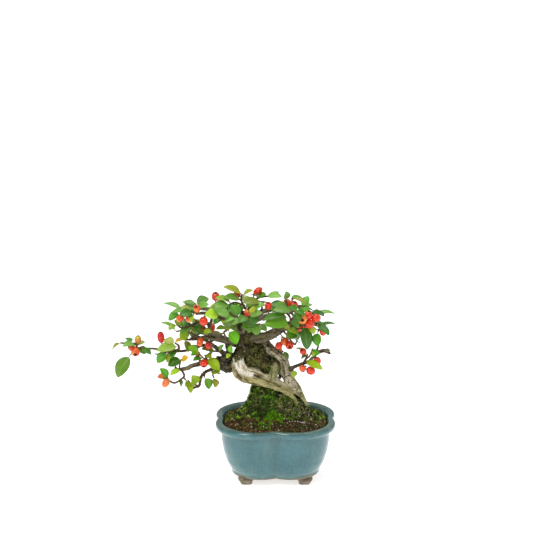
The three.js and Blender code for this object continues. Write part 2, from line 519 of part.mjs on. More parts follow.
// Leafy sprays
// Stems are runs of [across, up, depth]. Leaves are [base across, base up, tip across, tip up, base depth,
// tip depth, width, turn]: turn is the angle in degrees, about the rib, from facing the eye to facing up.
// A spray may also bear leaves by rule: grow is [leaves on each stem, least length, greatest length, seed].
const SPRAYS = {
  spray_far_left_tip: {
    stems: [[[-117, 123.6, -0.6], [-125, 124.5, 1], [-127, 128.4, 2], [-133, 128.8, 3], [-140.5, 129.2, 4]],
      [[-125, 124.5, 1], [-129, 121, -2], [-131.5, 118, -4]]],
    leaves: [[-131.5, 118, -144.5, 96, -4, -9, 12, 15], [-140.5, 129.2, -148.5, 122, 4, 6, 7, 72],
      [-127, 128.4, -138, 126.6, 2, -4, 8, 50], [-126, 127, -118, 130, 2, 6, 6, 50],
      [-124.5, 125.4, -117.6, 119, 1, -5, 8.5, 38], [-122, 124, -113, 117.6, 0, -8, 7, 35],
      [-126, 125.6, -119, 131.4, 1.6, 14, 8, 60], [-131, 128.6, -137, 134, 3, 14, 8, 60]],
  },
  spray_far_left_middle: {
    stems: [[[-88, 121.2, -8.4], [-87.6, 124, -11], [-88, 127, -12.6], [-91, 129, -12]],
      [[-87.7, 123.4, -10.6], [-93, 121.6, -12.6], [-98, 118.6, -12]]],
    leaves: [[-88, 126, -108, 122, -12, -17, 9.5, 25], [-91, 129, -102, 132, -12, -8, 9, 48],
      [-98, 118.6, -108, 110.5, -12, -15, 9, 22], [-94.5, 120.6, -98.5, 110, -12.4, -15, 5.5, 40],
      [-89, 123, -94.5, 114.6, -11.4, -17, 7, 45], [-98, 118.6, -109.5, 117.4, -12, -8, 6, 66]],
  },
  spray_left_low_end: {
    stems: [[[-86, 103.8, -14], [-83.4, 99, -16], [-84, 96, -17], [-91.5, 90.6, -17.4], [-97, 93, -17.4],
      [-100, 95.6, -17.6]], [[-84, 96, -17], [-81.4, 93, -17.6]],
      [[-85, 102, -15], [-87.4, 106, -17.6], [-86.4, 111, -14], [-85, 113.6, -12]]],
    leaves: [[-98, 94.4, -105, 105, -17.4, -18, 8, 38], [-97, 93.4, -106, 99, -17.4, -21, 7, 40],
      [-86.4, 103.9, -96, 98.6, -16.4, -18, 6.5, 42], [-100, 95.4, -107.6, 97.4, -17.6, -14, 6, 40],
      [-85, 113.6, -98, 107.4, -12, -14, 9.5, 28], [-81.4, 93, -77, 80.6, -17.6, -19, 8.5, 42],
      [-86, 112, -79, 115.4, -13.4, -15, 6.5, 40], [-88, 93, -86, 86, -17, -13, 7, 60]],
  },
  spray_left_drop: {
    radius: [2, 1],
    stems: [[[-50, 106.6, -3], [-55, 105.4, -5], [-60, 103, -7], [-64, 101, -9], [-68, 96, -12],
      [-69.5, 88, -13], [-73, 86.5, -14], [-76, 85, -15]],
      [[-64, 101, -9], [-64.6, 98, -11.6], [-64.4, 95.6, -12.6]],
      [[-58, 104.2, -6.2], [-57, 98, -8], [-56, 95.6, -8]],
      [[-69.5, 88, -13], [-74, 88.8, -14.6], [-77, 90, -15], [-80, 93.6, -16]]],
    leaves: [[-72, 88.4, -76.4, 98, -14, -17, 10.5, 20], [-64.5, 96, -60, 84.6, -12.4, -14, 9, 35],
      [-56, 96, -55, 86, -8, -10, 7.5, 42], [-59, 101.4, -50.4, 101.4, -7.4, -12, 10, 40],
      [-78, 91, -83, 87, -15.2, -12, 6, 50]],
  },
  spray_left_inner: {
    stems: [[[-62, 110.2, -8], [-62.6, 113.6, -11], [-64, 117.6, -11.6]],
      [[-62.6, 113.6, -11], [-66, 115, -13.4], [-69, 119, -14.4]]],
    leaves: [[-69, 119, -79.6, 125, -14.4, -18, 9.5, 35], [-64, 117.6, -58, 115.4, -11.6, -14, 7, 45],
      [-61.4, 114.6, -50.4, 103.6, -12.4, -15, 10.5, 30], [-66, 115, -75, 111.8, -13.4, -18, 6, 45],
      [-69, 118.6, -77, 117, -14.4, -8, 8, 55]],
  },
  spray_knob_shoot: {
    stems: [[[-48, 119.4, -2], [-51, 121, -6], [-57, 121.4, -8]]],
    leaves: [[-54, 121.4, -67, 123.4, -7.4, -12, 8.5, 50], [-51.4, 121, -47, 127.6, -6.4, -11, 4.6, 40],
      [-56, 121.4, -60.6, 116.4, -8, -3, 7.5, 60]],
  },
  spray_left_high: {
    stems: [[[-68, 134, -8], [-72, 132.6, -10.4], [-79, 132.4, -11.6], [-83, 132.4, -12]],
      [[-75, 132.5, -11], [-71, 136.4, -15.4], [-65, 140, -15.4]]],
    leaves: [[-79, 132.4, -86.4, 140, -11.6, -16, 11.5, 24], [-82.5, 132.4, -79, 120.4, -12, -14, 8, 46],
      [-83, 132.4, -91, 129.4, -12, -13, 6.4, 60], [-65, 140, -74, 142.6, -15.4, -19, 10.5, 35],
      [-67, 139, -58, 139.6, -15.4, -19, 7.5, 50]],
  },
  spray_left_upper: {
    stems: [[[-60.2, 141.6, -8], [-66, 144, -13], [-76, 145.6, -17], [-84, 143.6, -18], [-89.4, 146.6, -18]],
      [[-68, 144.4, -14], [-72, 151.6, -18]]],
    leaves: [[-89.4, 146.6, -96.8, 141.6, -18, -20, 7, 42], [-86, 144.4, -91, 151.6, -18, -14, 8, 48],
      [-72, 151.6, -81, 150.4, -18, -22, 8, 45], [-79, 145, -84, 137.6, -17.6, -20, 7.5, 50],
      [-72, 145, -79, 140.4, -15.6, -10, 8, 60], [-76, 145.6, -73, 138.4, -17, -21, 7.5, 50]],
  },
  spray_crown_left_end: {
    stems: [[[-70, 157.1, -31.6], [-76, 158.6, -31], [-83, 158.4, -29], [-86, 156.4, -28]],
      [[-73, 157.9, -31.4], [-71, 162, -28], [-72, 166, -24]]],
    leaves: [[-71, 165.6, -84.6, 168.6, -24.6, -20, 9, 66], [-72, 166, -60, 171.6, -24, -22, 10.5, 42],
      [-76, 159, -86, 163.4, -31, -28, 9, 50], [-74, 158.2, -86.4, 156.2, -31.4, -37, 9.5, 38],
      [-83, 158.4, -94.4, 158.4, -29, -24, 8, 62], [-86, 156.4, -97, 152.6, -28, -30, 8.5, 40],
      [-73, 157.6, -75.6, 150.6, -31.6, -37, 7, 45], [-71, 162, -60, 165.6, -28, -30, 9, 45],
      [-82, 158.4, -83, 150, -29.6, -19, 7.5, 55]],
  },
  spray_crown_left: {
    stems: [[[-47, 151, -20.8], [-50, 153.6, -27.6], [-51, 155.6, -31]],
      [[-49.6, 153.2, -26.6], [-44.6, 147, -30], [-43, 141, -31]]],
    leaves: [[-50, 155.6, -64, 155.4, -30.6, -36, 11.5, 34], [-49, 152, -42, 141.4, -28, -36, 8.5, 48],
      [-43, 141, -34.4, 128.4, -31, -33, 11.5, 28], [-43.4, 142.6, -54, 142, -31, -33, 8, 60],
      [-47, 150, -35.6, 141, -29, -39, 10.5, 36], [-48.6, 151.6, -56, 146.6, -28, -32, 8, 50],
      [-50.6, 155.6, -55, 163.4, -31, -27, 9.5, 42]],
  },
  spray_crown_centre: {
    stems: [[[-31.6, 150, -36], [-33, 153, -39], [-40, 155.4, -40]],
      [[-32.6, 152.6, -38.6], [-26, 154, -39], [-20, 156, -39]]],
    leaves: [[-40, 155.4, -52.6, 157.4, -40, -43, 9.5, 32], [-34, 153.6, -39.6, 166, -39, -32, 11.5, 34],
      [-30, 153.2, -39, 146, -39, -45, 9, 40], [-20, 156, -20, 164.6, -39, -34, 8, 40],
      [-22, 155.2, -18, 147.6, -39, -44, 8, 35], [-25, 154.2, -33, 149, -39, -45, 9, 35],
      [-24, 154.4, -12, 158, -39, -42, 8.5, 45], [-38, 154.8, -44, 150, -40, -46, 8, 42]],
  },
  spray_crown_front_left: {
    stems: [[[-22, 149.6, -6.4], [-20, 146, -18], [-17, 146.6, -26], [-14.4, 147.4, -31]]],
    leaves: [[-15.4, 147, -17.4, 136.6, -29, -33, 11, 34], [-15.4, 147.2, -32, 148.8, -29, -34, 10.5, 40],
      [-18, 146.4, -31, 143.6, -23.6, -27, 9, 42], [-17, 146.6, -8, 140.6, -26, -30, 8.5, 45],
      [-19.6, 146.2, -25, 139, -20, -25, 8, 45]],
  },
  spray_crown_top_left: {
    stems: [[[-24.4, 158, 3.6], [-29, 165, 4], [-31, 171, 5], [-30, 175.6, 5]],
      [[-29, 165, 4], [-36, 168, 2], [-41, 166.4, -2]]],
    leaves: [[-41, 166.4, -55.4, 163.4, -2, -8, 9.5, 40], [-39, 167.4, -54.6, 171.4, -0.6, 2, 9, 48],
      [-31, 171, -46.6, 172.4, 5, 0, 9, 46], [-30, 175.6, -47, 182.6, 5, 2, 8, 44],
      [-30, 174.6, -20.6, 179.4, 5, 2, 7.5, 62], [-28.6, 164, -14.6, 168, 4, -2, 9.5, 40],
      [-35, 167.8, -40, 159.6, 2.6, -6, 9, 42], [-30.6, 169, -23, 173, 4.6, 10, 8.5, 55]],
  },
  spray_crown_top: {
    stems: [[[-20.4, 167, 5], [-16.6, 171.6, 5], [-9, 173.6, 4], [-3, 172.6, 3]],
      [[-18.4, 169.6, 5], [-13, 168.6, -1], [-6, 167.6, -7]]],
    leaves: [[-9, 173.6, 5.6, 173.4, 4, 1, 8.5, 48], [-16.6, 171.6, -8.4, 175.6, 5, 0, 7, 48],
      [-3, 172.6, 4, 178.4, 3, 8, 8, 62], [-6, 167.6, 9.6, 161.6, -7, -12, 9.5, 38],
      [-13, 168.6, -29.6, 167.6, -1, -9, 9.5, 42], [-8, 168, -2.4, 159.6, -5, -12, 8.5, 40],
      [-14, 172.4, -22, 176, 5, 12, 8, 58], [-10, 168.2, -18, 161, -4, -11, 8.5, 45]],
  },
  spray_crown_right_front: {
    stems: [[[9, 158.7, -28.4], [12.6, 154.6, -33], [13.6, 150, -35]],
      [[11.4, 156.2, -31.4], [15.4, 159.4, -34], [18, 158.6, -35]]],
    leaves: [[13.6, 149.6, -10.6, 146.6, -35, -41, 13, 28], [13, 154, -12, 151.6, -33.4, -38, 9.5, 46],
      [17, 159.4, 20.6, 149.4, -34.6, -38, 9.5, 36], [15.4, 159.6, -2.6, 160.6, -34, -38, 9.5, 44],
      [13.4, 151, 21, 143.6, -34.6, -38, 8, 42], [18, 158.6, 27, 156.6, -35, -31, 8, 48]],
  },
  spray_crown_right_top: {
    stems: [[[17, 154, -8], [13, 160, -10], [10, 165, -9], [9.4, 170, -7]],
      [[12.2, 161.4, -10], [15, 165, -5], [14.6, 172.4, -1]],
      [[14.4, 164, -6.4], [22, 164.6, -7], [29, 163, -8], [33, 160.6, -8]]],
    leaves: [[9.4, 170, 9.2, 178.4, -7, -8, 7.5, 38], [14.6, 172.4, 27.6, 165.4, -1, -7, 8.5, 62],
      [12, 161.4, -1, 165.4, -10, -15, 9, 42], [22, 164.2, 30, 157.6, -7, -13, 8.5, 40],
      [33, 160.6, 38.6, 155.4, -8, -11, 8, 46], [10.6, 163.8, 18.6, 159, -9.4, -18, 8, 42],
      [15, 170, 23, 173.6, -2, 8, 7.5, 60], [28, 163, 34, 165.6, -8, 0, 8, 60]],
  },
  spray_right_end: {
    stems: [[[18.6, 149.4, -13.6], [24, 149.4, -14.4], [29, 150.4, -11], [34, 148.6, -11], [40, 146, -13],
      [38.4, 140, -15]], [[23, 149.4, -14.3], [24.6, 146.6, -17], [30, 145, -19]]],
    leaves: [[24.6, 146.4, 29.4, 122.6, -17, -22, 11.5, 26], [38.4, 140, 37.4, 126, -15, -18, 9.5, 32],
      [38, 147.4, 48.4, 136.6, -12, -15, 9, 42], [30, 145, 35, 137.6, -19, -22, 8, 45],
      [33, 149, 41.6, 148.6, -10.8, -4, 8, 50], [29, 150.2, 33, 141, -11, -4, 8.5, 55]],
  },
  spray_right_middle: {
    stems: [[[7, 142.6, -9.2], [14, 140.6, -12], [21, 138.6, -13], [25, 141, -13.6]]],
    leaves: [[20, 138.8, 9.4, 134.6, -13, -17, 10.5, 34], [22, 139, 11.6, 141, -13, -18, 8.5, 48],
      [24.6, 140.8, 32.6, 137.6, -13.6, -9, 7.5, 50],
      [17, 139.8, 19.6, 130.4, -12.6, -8, 8.5, 50], [15, 140.4, 6, 145.6, -12, -22, 8, 45]],
  },
  spray_right_low: {
    stems: [[[25, 109.3, -14], [27.6, 114, -14.6], [29, 118.4, -15]],
      [[27, 112.8, -14.5], [31.4, 117.4, -18], [33.4, 124, -18]]],
    leaves: [[27, 112.4, 43, 103.6, -14.8, -27, 7.5, 30], [29, 118.4, 17, 124.4, -15, -18, 6.6, 64],
      [33.4, 122, 33.8, 115.6, -18, -22, 5.5, 45],
      [31.6, 117.6, 40, 120, -18, -8, 7.5, 55], [28.4, 117, 23, 113.6, -15, -9, 7, 60]],
  },
  spray_right_shoot: {
    stems: [[[11.4, 104, -7.4], [15, 102, -11], [16, 103.4, -13]]],
    leaves: [[16, 103.4, 16.4, 95.6, -13, -14, 6.4, 32]],
  },
  spray_stem_shoot: {
    stems: [[[3.6, 118.5, -8], [6.6, 121.4, -10.6]]],
    leaves: [[6.6, 121.4, 11.6, 112.4, -10.6, -12, 6.4, 55], [6, 121, 0.6, 124.6, -10.2, -12, 5.5, 50]],
  },
  spray_trunk_shoot: {
    stems: [[[-42, 121, -3], [-40.6, 119, -8.4], [-40.2, 118.8, -9.6]]],
    leaves: [[-40.4, 119, -40, 127, -9, -11, 6, 35], [-40.4, 119, -44.6, 114.6, -9, -11, 5, 40]],
  },
  spray_crown_back: {
    stems: [[[-35, 157.2, 45], [-37, 155, 54], [-40, 151, 62]],
      [[-36, 156.2, 49.6], [-43, 158, 51], [-50, 156, 53]],
      [[-36.4, 155.8, 51.4], [-30, 159, 56], [-23, 158, 58]]],
    leaves: [],
    grow: [3, 15, 20, 11],
  },
  spray_crown_back_left: {
    stems: [[[-66, 161.8, 23.8], [-74, 163, 27], [-84, 160, 30]],
      [[-71, 162.6, 25.6], [-72, 160, 36], [-74, 156, 44]],
      [[-69.6, 162.4, 25], [-62, 160, 34], [-58, 156, 43]]],
    leaves: [],
    grow: [3, 15, 20, 23],
  },
  spray_crown_back_right: {
    stems: [[[22, 163.2, 29.8], [30, 160, 33], [36, 155, 34]],
      [[26.4, 161.6, 31.8], [22, 160, 40], [18, 156, 46]],
      [[25.4, 162, 31.4], [14, 163, 38], [6, 160, 44]]],
    leaves: [],
    grow: [3, 15, 20, 37],
  },
  spray_back_left: {
    stems: [[[-72, 140, 33.4], [-80, 142, 36], [-90, 140, 36]],
      [[-76, 141.2, 35], [-76, 137, 44], [-74, 132, 50]],
      [[-75, 141, 34.6], [-66, 138, 42], [-58, 134, 47]]],
    leaves: [],
    grow: [3, 15, 20, 41],
  },
  spray_back_right: {
    stems: [[[22, 149, 29.4], [30, 148, 33], [39, 145, 33]],
      [[26, 148.7, 31.4], [20, 145, 39], [13, 141, 43]]],
    leaves: [],
    grow: [3, 15, 20, 59],
  },
};

// A blade is a thin arched lozenge: its base, two rows of two edge points and its tip, half a thickness above
// and below the middle surface.
const BLADE_ROWS = [[0.3, 0.94], [0.68, 0.8]];

function bladeSolid(base, tip, width, normal) {
  const chord = new THREE.Vector3().subVectors(tip, base);
  const side = new THREE.Vector3().crossVectors(chord, normal).setLength(width / 2);
  const arch = BLADE_ARCH * chord.length() * 4;
  const at = (along, across) =>
    base.clone().addScaledVector(chord, along).addScaledVector(side, across)
      .addScaledVector(normal, arch * along * (1 - along) + BLADE_THICK / 2);
  const top = [at(0, 0)];
  for (const [along, wide] of BLADE_ROWS) {
    top.push(at(along, -wide), at(along, wide));
  }
  top.push(at(1, 0));
  const below = top.map((point) => point.clone().addScaledVector(normal, -BLADE_THICK));
  const upper = [[0, 2, 1], [1, 2, 3], [2, 4, 3], [3, 4, 5]];
  const edge = [0, 1, 3, 5, 4, 2];
  const faces = [];
  for (const [a, b, c] of upper) {
    faces.push(a, b, c, a + 6, c + 6, b + 6);
  }
  edge.forEach((from, i) => {
    const to = edge[(i + 1) % edge.length];
    faces.push(from, to, to + 6, from, to + 6, from + 6);
  });
  const geometry = new THREE.BufferGeometry().setFromPoints([...top, ...below]);
  geometry.setIndex(faces);
  return solidOf(geometry);
}

const STALK_IN_BLADE = 0.1; // how far a leaf's stalk runs on in its blade, as a share of the blade
const OUTER_FROM = 0.3; // where a blade's outer part starts, past the leaves' feet

// The upper face of a placed leaf: across the rib, turned by the given angle from the eye towards the sky.
function faceOf(base, tip, turn) {
  const chord = new THREE.Vector3().subVectors(tip, base).normalize();
  const toEye = new THREE.Vector3().subVectors(EYE, base).projectOnPlane(chord).normalize();
  const beside = new THREE.Vector3().crossVectors(chord, toEye);
  if (beside.z < 0) beside.negate();
  const angle = THREE.MathUtils.degToRad(turn);
  return toEye.multiplyScalar(Math.cos(angle)).addScaledVector(beside, Math.sin(angle));
}

// A leaf that would touch another piece is bent clear: its tip moves along the line of sight by the first of
// these that is clear, in millimetres, with a further turn in degrees.
const BENDS = [[0, 0], [-3, 0], [3, 0], [-6, 0], [6, 0], [-9, 8], [9, 8], [-12, -8], [12, -8],
  [-15, 0], [15, 0], [0, 20], [-8, 24], [8, 24], [0, -20], [-8, -20], [8, -20]];

// The same for a leaf grown by rule: [swing about the upright, lift of the tip], in degrees.
const SWINGS = [[0, 0], [14, 0], [-14, 0], [0, 14], [0, -14], [28, 0], [-28, 0], [20, 18], [-20, 18],
  [20, -18], [-20, -18], [42, 8], [-42, 8], [0, 30], [0, -30]];
const GROWN_ALONG = [0.22, 0.96, 0.98]; // first and last side leaf and the end leaf, as shares of the stem
const GROWN_SPREAD = [56, 24]; // degrees between a grown leaf and its stem, and how much they vary
const GROWN_LIFT = [14, 40]; // degrees that a grown leaf rises, and how much they vary
const GROWN_WIDTH = 0.5; // width of a grown leaf as a share of its length

function placedLeaf(row, paths) {
  const [baseX, baseZ, tipX, tipZ, baseY, tipY, width, turn] = row;
  const base = seen(baseX, baseZ, baseY);
  const foot = nearestOn(paths, base);
  return {
    base,
    foot,
    width,
    choices: BENDS.map(([move, twist]) => {
      const tip = seen(tipX, tipZ, tipY + move);
      return { tip, normal: faceOf(base, tip, turn + twist) };
    }),
  };
}

function grownLeaves([count, shortest, longest, seed], paths) {
  const random = randomFrom(seed);
  const vary = ([middle, range]) => middle + range * (random() - 0.5);
  const [first, last, end] = GROWN_ALONG;
  const up = new THREE.Vector3(0, 0, 1);
  const leaves = [];
  for (const path of paths) {
    const along = new THREE.Vector3().subVectors(path.at(-1), path[0]).projectOnPlane(up).normalize();
    for (let i = 0; i < count; i++) {
      const share = i === count - 1 ? end : first + ((last - first) * i) / (count - 1);
      const place = share * (path.length - 1);
      const base = path[Math.floor(place)].clone().lerp(path[Math.floor(place) + 1], place % 1);
      const hand = i % 2 === 0 ? 1 : -1;
      const spread = i === count - 1 ? 0 : hand * vary(GROWN_SPREAD);
      const lift = vary(GROWN_LIFT);
      const length = shortest + (longest - shortest) * random();
      const choices = SWINGS.map(([swing, more]) => {
        const flat = along.clone().applyAxisAngle(up, THREE.MathUtils.degToRad(spread + swing));
        const rise = THREE.MathUtils.degToRad(lift + more);
        const chord = flat.multiplyScalar(Math.cos(rise)).addScaledVector(up, Math.sin(rise));
        const normal = up.clone().projectOnPlane(chord).normalize();
        return { tip: base.clone().addScaledVector(chord, length), normal };
      });
      leaves.push({ base, foot: base, width: GROWN_WIDTH * length, choices });
    }
  }
  return leaves;
}

function nearestOn(paths, point) {
  const nearest = new THREE.Vector3(Infinity, 0, 0);
  const here = new THREE.Vector3();
  for (const path of paths) {
    for (let i = 0; i < path.length - 1; i++) {
      new THREE.Line3(path[i], path[i + 1]).closestPointToPoint(point, true, here);
      if (here.distanceTo(point) < nearest.distanceTo(point)) nearest.copy(here);
    }
  }
  return nearest;
}

function sprayParts({ stems, leaves, grow, radius = STEM_RADIUS }) {
  const paths = [];
  const wood = [];
  stems.forEach((rows, i) => {
    const points = rows.map((row) => seen(...row));
    if (i > 0) points[0] = nearestOn(paths, points[0]);
    const curve = new THREE.CatmullRomCurve3(points, false, "catmullrom");
    const steps = Math.max(rows.length - 1, 2);
    wood.push(tubeSolid(curve, i === 0 ? radius : FORK_RADIUS, STEM_SIDES, steps));
    paths.push(curve.getPoints(steps));
  });
  const blades = leaves.map((row) => placedLeaf(row, paths));
  if (grow) blades.push(...grownLeaves(grow, paths));
  return { wood: joined(wood), blades };
}

function leafSolid(leaf, choice) {
  if (leaf.foot.distanceTo(leaf.base) < SIDE_STEM_FROM) {
    return bladeSolid(leaf.foot, choice.tip, leaf.width, choice.normal);
  }
  const past = leaf.base.clone().lerp(choice.tip, STALK_IN_BLADE);
  const blade = bladeSolid(leaf.base, choice.tip, leaf.width, choice.normal);
  return blade.add(rodSolid(leaf.foot, past, LEAF_STALK_RADIUS));
}

function isClear(solid, others) {
  return others.every((other) => solid.minGap(other, CLEAR * 2) >= CLEAR);
}

// The blade without the part near its stem, to see whether it crosses its neighbours on the same spray
function outerBlade(leaf, choice) {
  const start = leaf.base.clone().lerp(choice.tip, OUTER_FROM);
  return bladeSolid(start, choice.tip, leaf.width, choice.normal);
}

// The first place of a bunch that is clear of the others, out along its stalk and along the line of sight
function seatedBunch(bunch, others) {
  for (const shift of BUNCH_SHIFTS) {
    for (let start = BUNCH_STARTS.least; start < BUNCH_STARTS.most; start += BUNCH_STARTS.step) {
      const solid = bunchSolid(bunch, start, shift);
      if (isClear(solid, others)) return { start, shift, solid };
    }
  }
  throw new Error("no clear place for a bunch at " + bunch.from);
}

// The tree: wood first, then the bunches, then each spray's stems, then leaf by leaf
function growTree() {
  const wood = woodSolid();
  const stout = woodSolid(GAP);
  const sprays = Object.entries(SPRAYS).map(([name, spray]) => ({ name, ...sprayParts(spray) }));
  const stems = sprays.map((spray) => largestPiece(spray.wood.subtract(stout)));
  const bunches = Object.entries(BUNCHES).map(([name, bunch]) => ({
    name,
    ...seatedBunch(bunch, [wood, ...stems]),
  }));
  sprays.forEach((spray, i) => {
    const elsewhere = [wood, ...bunches.map((bunch) => bunch.solid), ...stems.filter((_, j) => j !== i)];
    elsewhere.push(...sprays.slice(0, i).map((earlier) => earlier.solid));
    const kept = [stems[i]];
    const outers = [];
    for (const leaf of spray.blades) {
      const clear = leaf.choices.filter((choice) => isClear(leafSolid(leaf, choice), elsewhere));
      const best = clear.find((choice) => isClear(outerBlade(leaf, choice), outers)) ?? clear[0];
      if (!best) throw new Error("no clear place for a leaf of " + spray.name);
      kept.push(leafSolid(leaf, best));
      outers.push(outerBlade(leaf, best));
    }
    spray.solid = joined(kept);
  });
  return { wood, stout, bunches, sprays };
}

// Assembly
function material(colour, roughness, metalness = 0) {
  return new THREE.MeshStandardMaterial({ color: colour, roughness, metalness });
}

const GLAZE = material(0x5f959c, 0.25);
const SOIL = material(0x3d3226, 0.95);
const MOSS = material(0x4a6a22, 0.95);
const COPPER = material(0x9a5a35, 0.5, 0.8);
const NYLON = material(0x1c1d1c, 0.6);
const BARK = material(0xa39a85, 0.9);
const LEAF = material(0x4f8f2c, 0.5);
const BERRY = material(0xd8432a, 0.35);

function part(name, geometry, finish) {
  const mesh = new THREE.Mesh(geometry, finish);
  mesh.name = name;
  return mesh;
}

const tree = growTree();
const group = new THREE.Group();
group.add(part("pot", potGeometry(), GLAZE));
group.add(part("soil", soilGeometry(), SOIL));
group.add(part("drainage_screen", screenGeometry(), NYLON));
group.add(part("anchor_wire", wireGeometry(), COPPER));
const mound = moundSolid().subtract(tree.stout).subtract(solidOf(wireGeometry(GAP)));
group.add(part("moss_mound", geometryOf(largestPiece(mound)), MOSS));
group.add(part("wood", geometryOf(tree.wood), BARK));
for (const { name, solid } of tree.bunches) {
  group.add(part(name, geometryOf(solid), BERRY));
}
for (const { name, solid } of tree.sprays) {
  group.add(part(name, geometryOf(solid), LEAF));
}

// The whole is set over the middle of its own outline, with the feet on z = 0.
const box = new THREE.Box3().setFromObject(group);
const middle = box.getCenter(new THREE.Vector3());
group.children.forEach((mesh) => mesh.position.set(-middle.x, -middle.y, 0));

export default group;
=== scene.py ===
# %% [markdown]
# A small old wall cotoneaster, grown as a bonsai in a four-lobed glazed pot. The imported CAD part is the
# frame: every piece below is put where its node is, in metres, with +Z up and the viewer at -Y. All lengths
# in the tables are millimetres from the spot on the floor under the pot's middle, because that is how a
# maker would measure the tree, and one function turns them into the frame's metres.
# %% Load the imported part
import itertools
import math

import bpy
import numpy as np
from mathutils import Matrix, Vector
from mathutils.bvhtree import BVHTree


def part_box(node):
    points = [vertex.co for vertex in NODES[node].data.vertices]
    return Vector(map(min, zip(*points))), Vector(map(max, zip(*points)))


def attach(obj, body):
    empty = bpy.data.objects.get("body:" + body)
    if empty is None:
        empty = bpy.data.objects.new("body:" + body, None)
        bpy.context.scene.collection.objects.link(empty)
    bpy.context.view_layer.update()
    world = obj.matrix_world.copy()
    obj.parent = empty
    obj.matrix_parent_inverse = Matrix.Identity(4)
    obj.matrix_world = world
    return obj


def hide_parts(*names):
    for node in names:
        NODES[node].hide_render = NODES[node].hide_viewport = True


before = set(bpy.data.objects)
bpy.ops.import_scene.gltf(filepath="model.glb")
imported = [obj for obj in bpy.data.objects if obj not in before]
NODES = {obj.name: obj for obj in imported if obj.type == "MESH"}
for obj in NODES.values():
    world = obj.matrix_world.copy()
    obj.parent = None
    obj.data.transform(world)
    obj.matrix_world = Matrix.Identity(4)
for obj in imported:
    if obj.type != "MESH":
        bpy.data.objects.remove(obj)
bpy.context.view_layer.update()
POT_LOW, POT_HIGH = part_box("pot")
POT_MIDDLE = np.array([(POT_LOW.x + POT_HIGH.x) / 2, (POT_LOW.y + POT_HIGH.y) / 2, POT_LOW.z])
MM = 0.001
print("nodes in the frame:", len(NODES), "pot's middle:", POT_MIDDLE.round(4))


def in_frame(points):
    """Millimetres from the pot's middle, as metres in the frame."""
    return np.asarray(points, float) * MM + POT_MIDDLE


def node_points(name):
    """A CAD node's vertices, in millimetres from the pot's middle."""
    mesh = NODES[name].data
    flat = np.zeros(len(mesh.vertices) * 3)
    mesh.vertices.foreach_get("co", flat)
    return (flat.reshape(-1, 3) - POT_MIDDLE) / MM


# %% [markdown]
# The picture was taken from a little above and slightly to the left. Places on the tree are written as
# [across, up, depth]: across and up are read in the upright plane through the pot's middle, seen from the
# eye, and depth slides the point along that line of sight. So a leaf stays over the same place in the
# picture however deep it is set, and the tree can be given its depth afterwards.
# %% The eye
EYE = np.array([-8.2, -1600.0, 690.0])
EYE_DIP = math.radians(16.975)
EYE_FOCUS = 1870.0  # focal length, in pixels of the 533 pixel picture
PICTURE_SIDE = 533
SENSOR = 36.0


def seen(places):
    """[across, up, depth] to x, y, z: the eye's ray through (across, 0, up) followed to y = depth."""
    places = np.asarray(places, float)
    nearness = 1 - places[..., 2:3] / EYE[1]
    along = EYE + (np.stack([places[..., 0], 0 * places[..., 0], places[..., 1]], -1) - EYE) * nearness
    along[..., 1] = places[..., 2]
    return along


camera = bpy.data.cameras.new("photo_camera")
camera.sensor_width = SENSOR
camera.lens = EYE_FOCUS * SENSOR / PICTURE_SIDE
camera.clip_end = 20
camera_object = bpy.data.objects.new("photo_camera", camera)
camera_object.location = in_frame(EYE)
camera_object.rotation_euler = (math.pi / 2 - EYE_DIP, 0, 0)
bpy.context.scene.collection.objects.link(camera_object)
bpy.context.scene.camera = camera_object
print("lens", round(camera.lens, 1), "mm")

# %% [markdown]
# Bark, soil, moss and glaze are all rough in a random but smooth way. Value noise gives that: a random
# number at each corner of a grid of cells, blended between the corners. It is worked out for whole arrays
# of points at once, and a hash of the cell's whole numbers takes the place of a stored table.
# %% Noise
HASH_PRIMES = np.array([374761393, 668265263, 2147483647], np.uint64)
HASH_MIX = np.uint64(1274126177)
HASH_MASK = np.uint64(0xFFFFFFFF)
HASH_SHIFTS = np.array([13, 16, 15], np.uint64)
SEED_PRIME = 7919


def cell_value(cells, seed):
    """A number in 0..1 for each row of whole numbers: their sum times big primes, with its bits mixed."""
    mixed = (cells.astype(np.int64).astype(np.uint64) * HASH_PRIMES).sum(-1)
    mixed = (mixed + np.uint64(seed * SEED_PRIME + 17)) & HASH_MASK
    for shift in HASH_SHIFTS[:2]:
        mixed = ((mixed ^ (mixed >> shift)) * HASH_MIX) & HASH_MASK
    return (mixed ^ (mixed >> HASH_SHIFTS[2])).astype(float) / 2**32


def noise(points, size, seed=0):
    """Smooth noise in -1..1 with lumps about `size` across: eight corner values, eased and blended."""
    scaled = np.asarray(points, float) / size
    cell = np.floor(scaled)
    share = scaled - cell
    share = share * share * (3 - 2 * share)
    total = np.zeros(scaled.shape[:-1])
    for corner in itertools.product((0, 1), repeat=3):
        weight = np.prod(np.where(corner, share, 1 - share), -1)
        total += weight * cell_value(cell + corner, seed)
    return 2 * total - 1


def rough(points, size, seed=0, layers=3):
    """Noise in layers, each half the size and half the strength of the one before, still about -1..1."""
    total = sum(noise(points, size / 2**i, seed + i) / 2**i for i in range(layers))
    return total / sum(1 / 2**i for i in range(layers)) * 1.5


def eased(value, low, high):
    """0 below low, 1 above high, and a smooth step between. low may be above high."""
    share = np.clip((value - low) / (high - low), 0, 1)
    return share * share * (3 - 2 * share)


def bell(*shares):
    """1 where every share is 0, and falling off on all sides: e to the minus sum of the squares."""
    return np.exp(-sum(share**2 for share in shares))


def blended(first, second, share):
    """The first where the share is 0, the second where it is 1, and a mix between."""
    return first + share * (second - first)


def unit(vectors):
    """Vectors with their length made 1."""
    return vectors / np.maximum(np.linalg.norm(vectors, axis=-1, keepdims=True), 1e-9)


def around(count):
    """Angles for one full turn in equal steps, without the last, which is the first again."""
    return np.linspace(0, 2 * math.pi, count, endpoint=False)


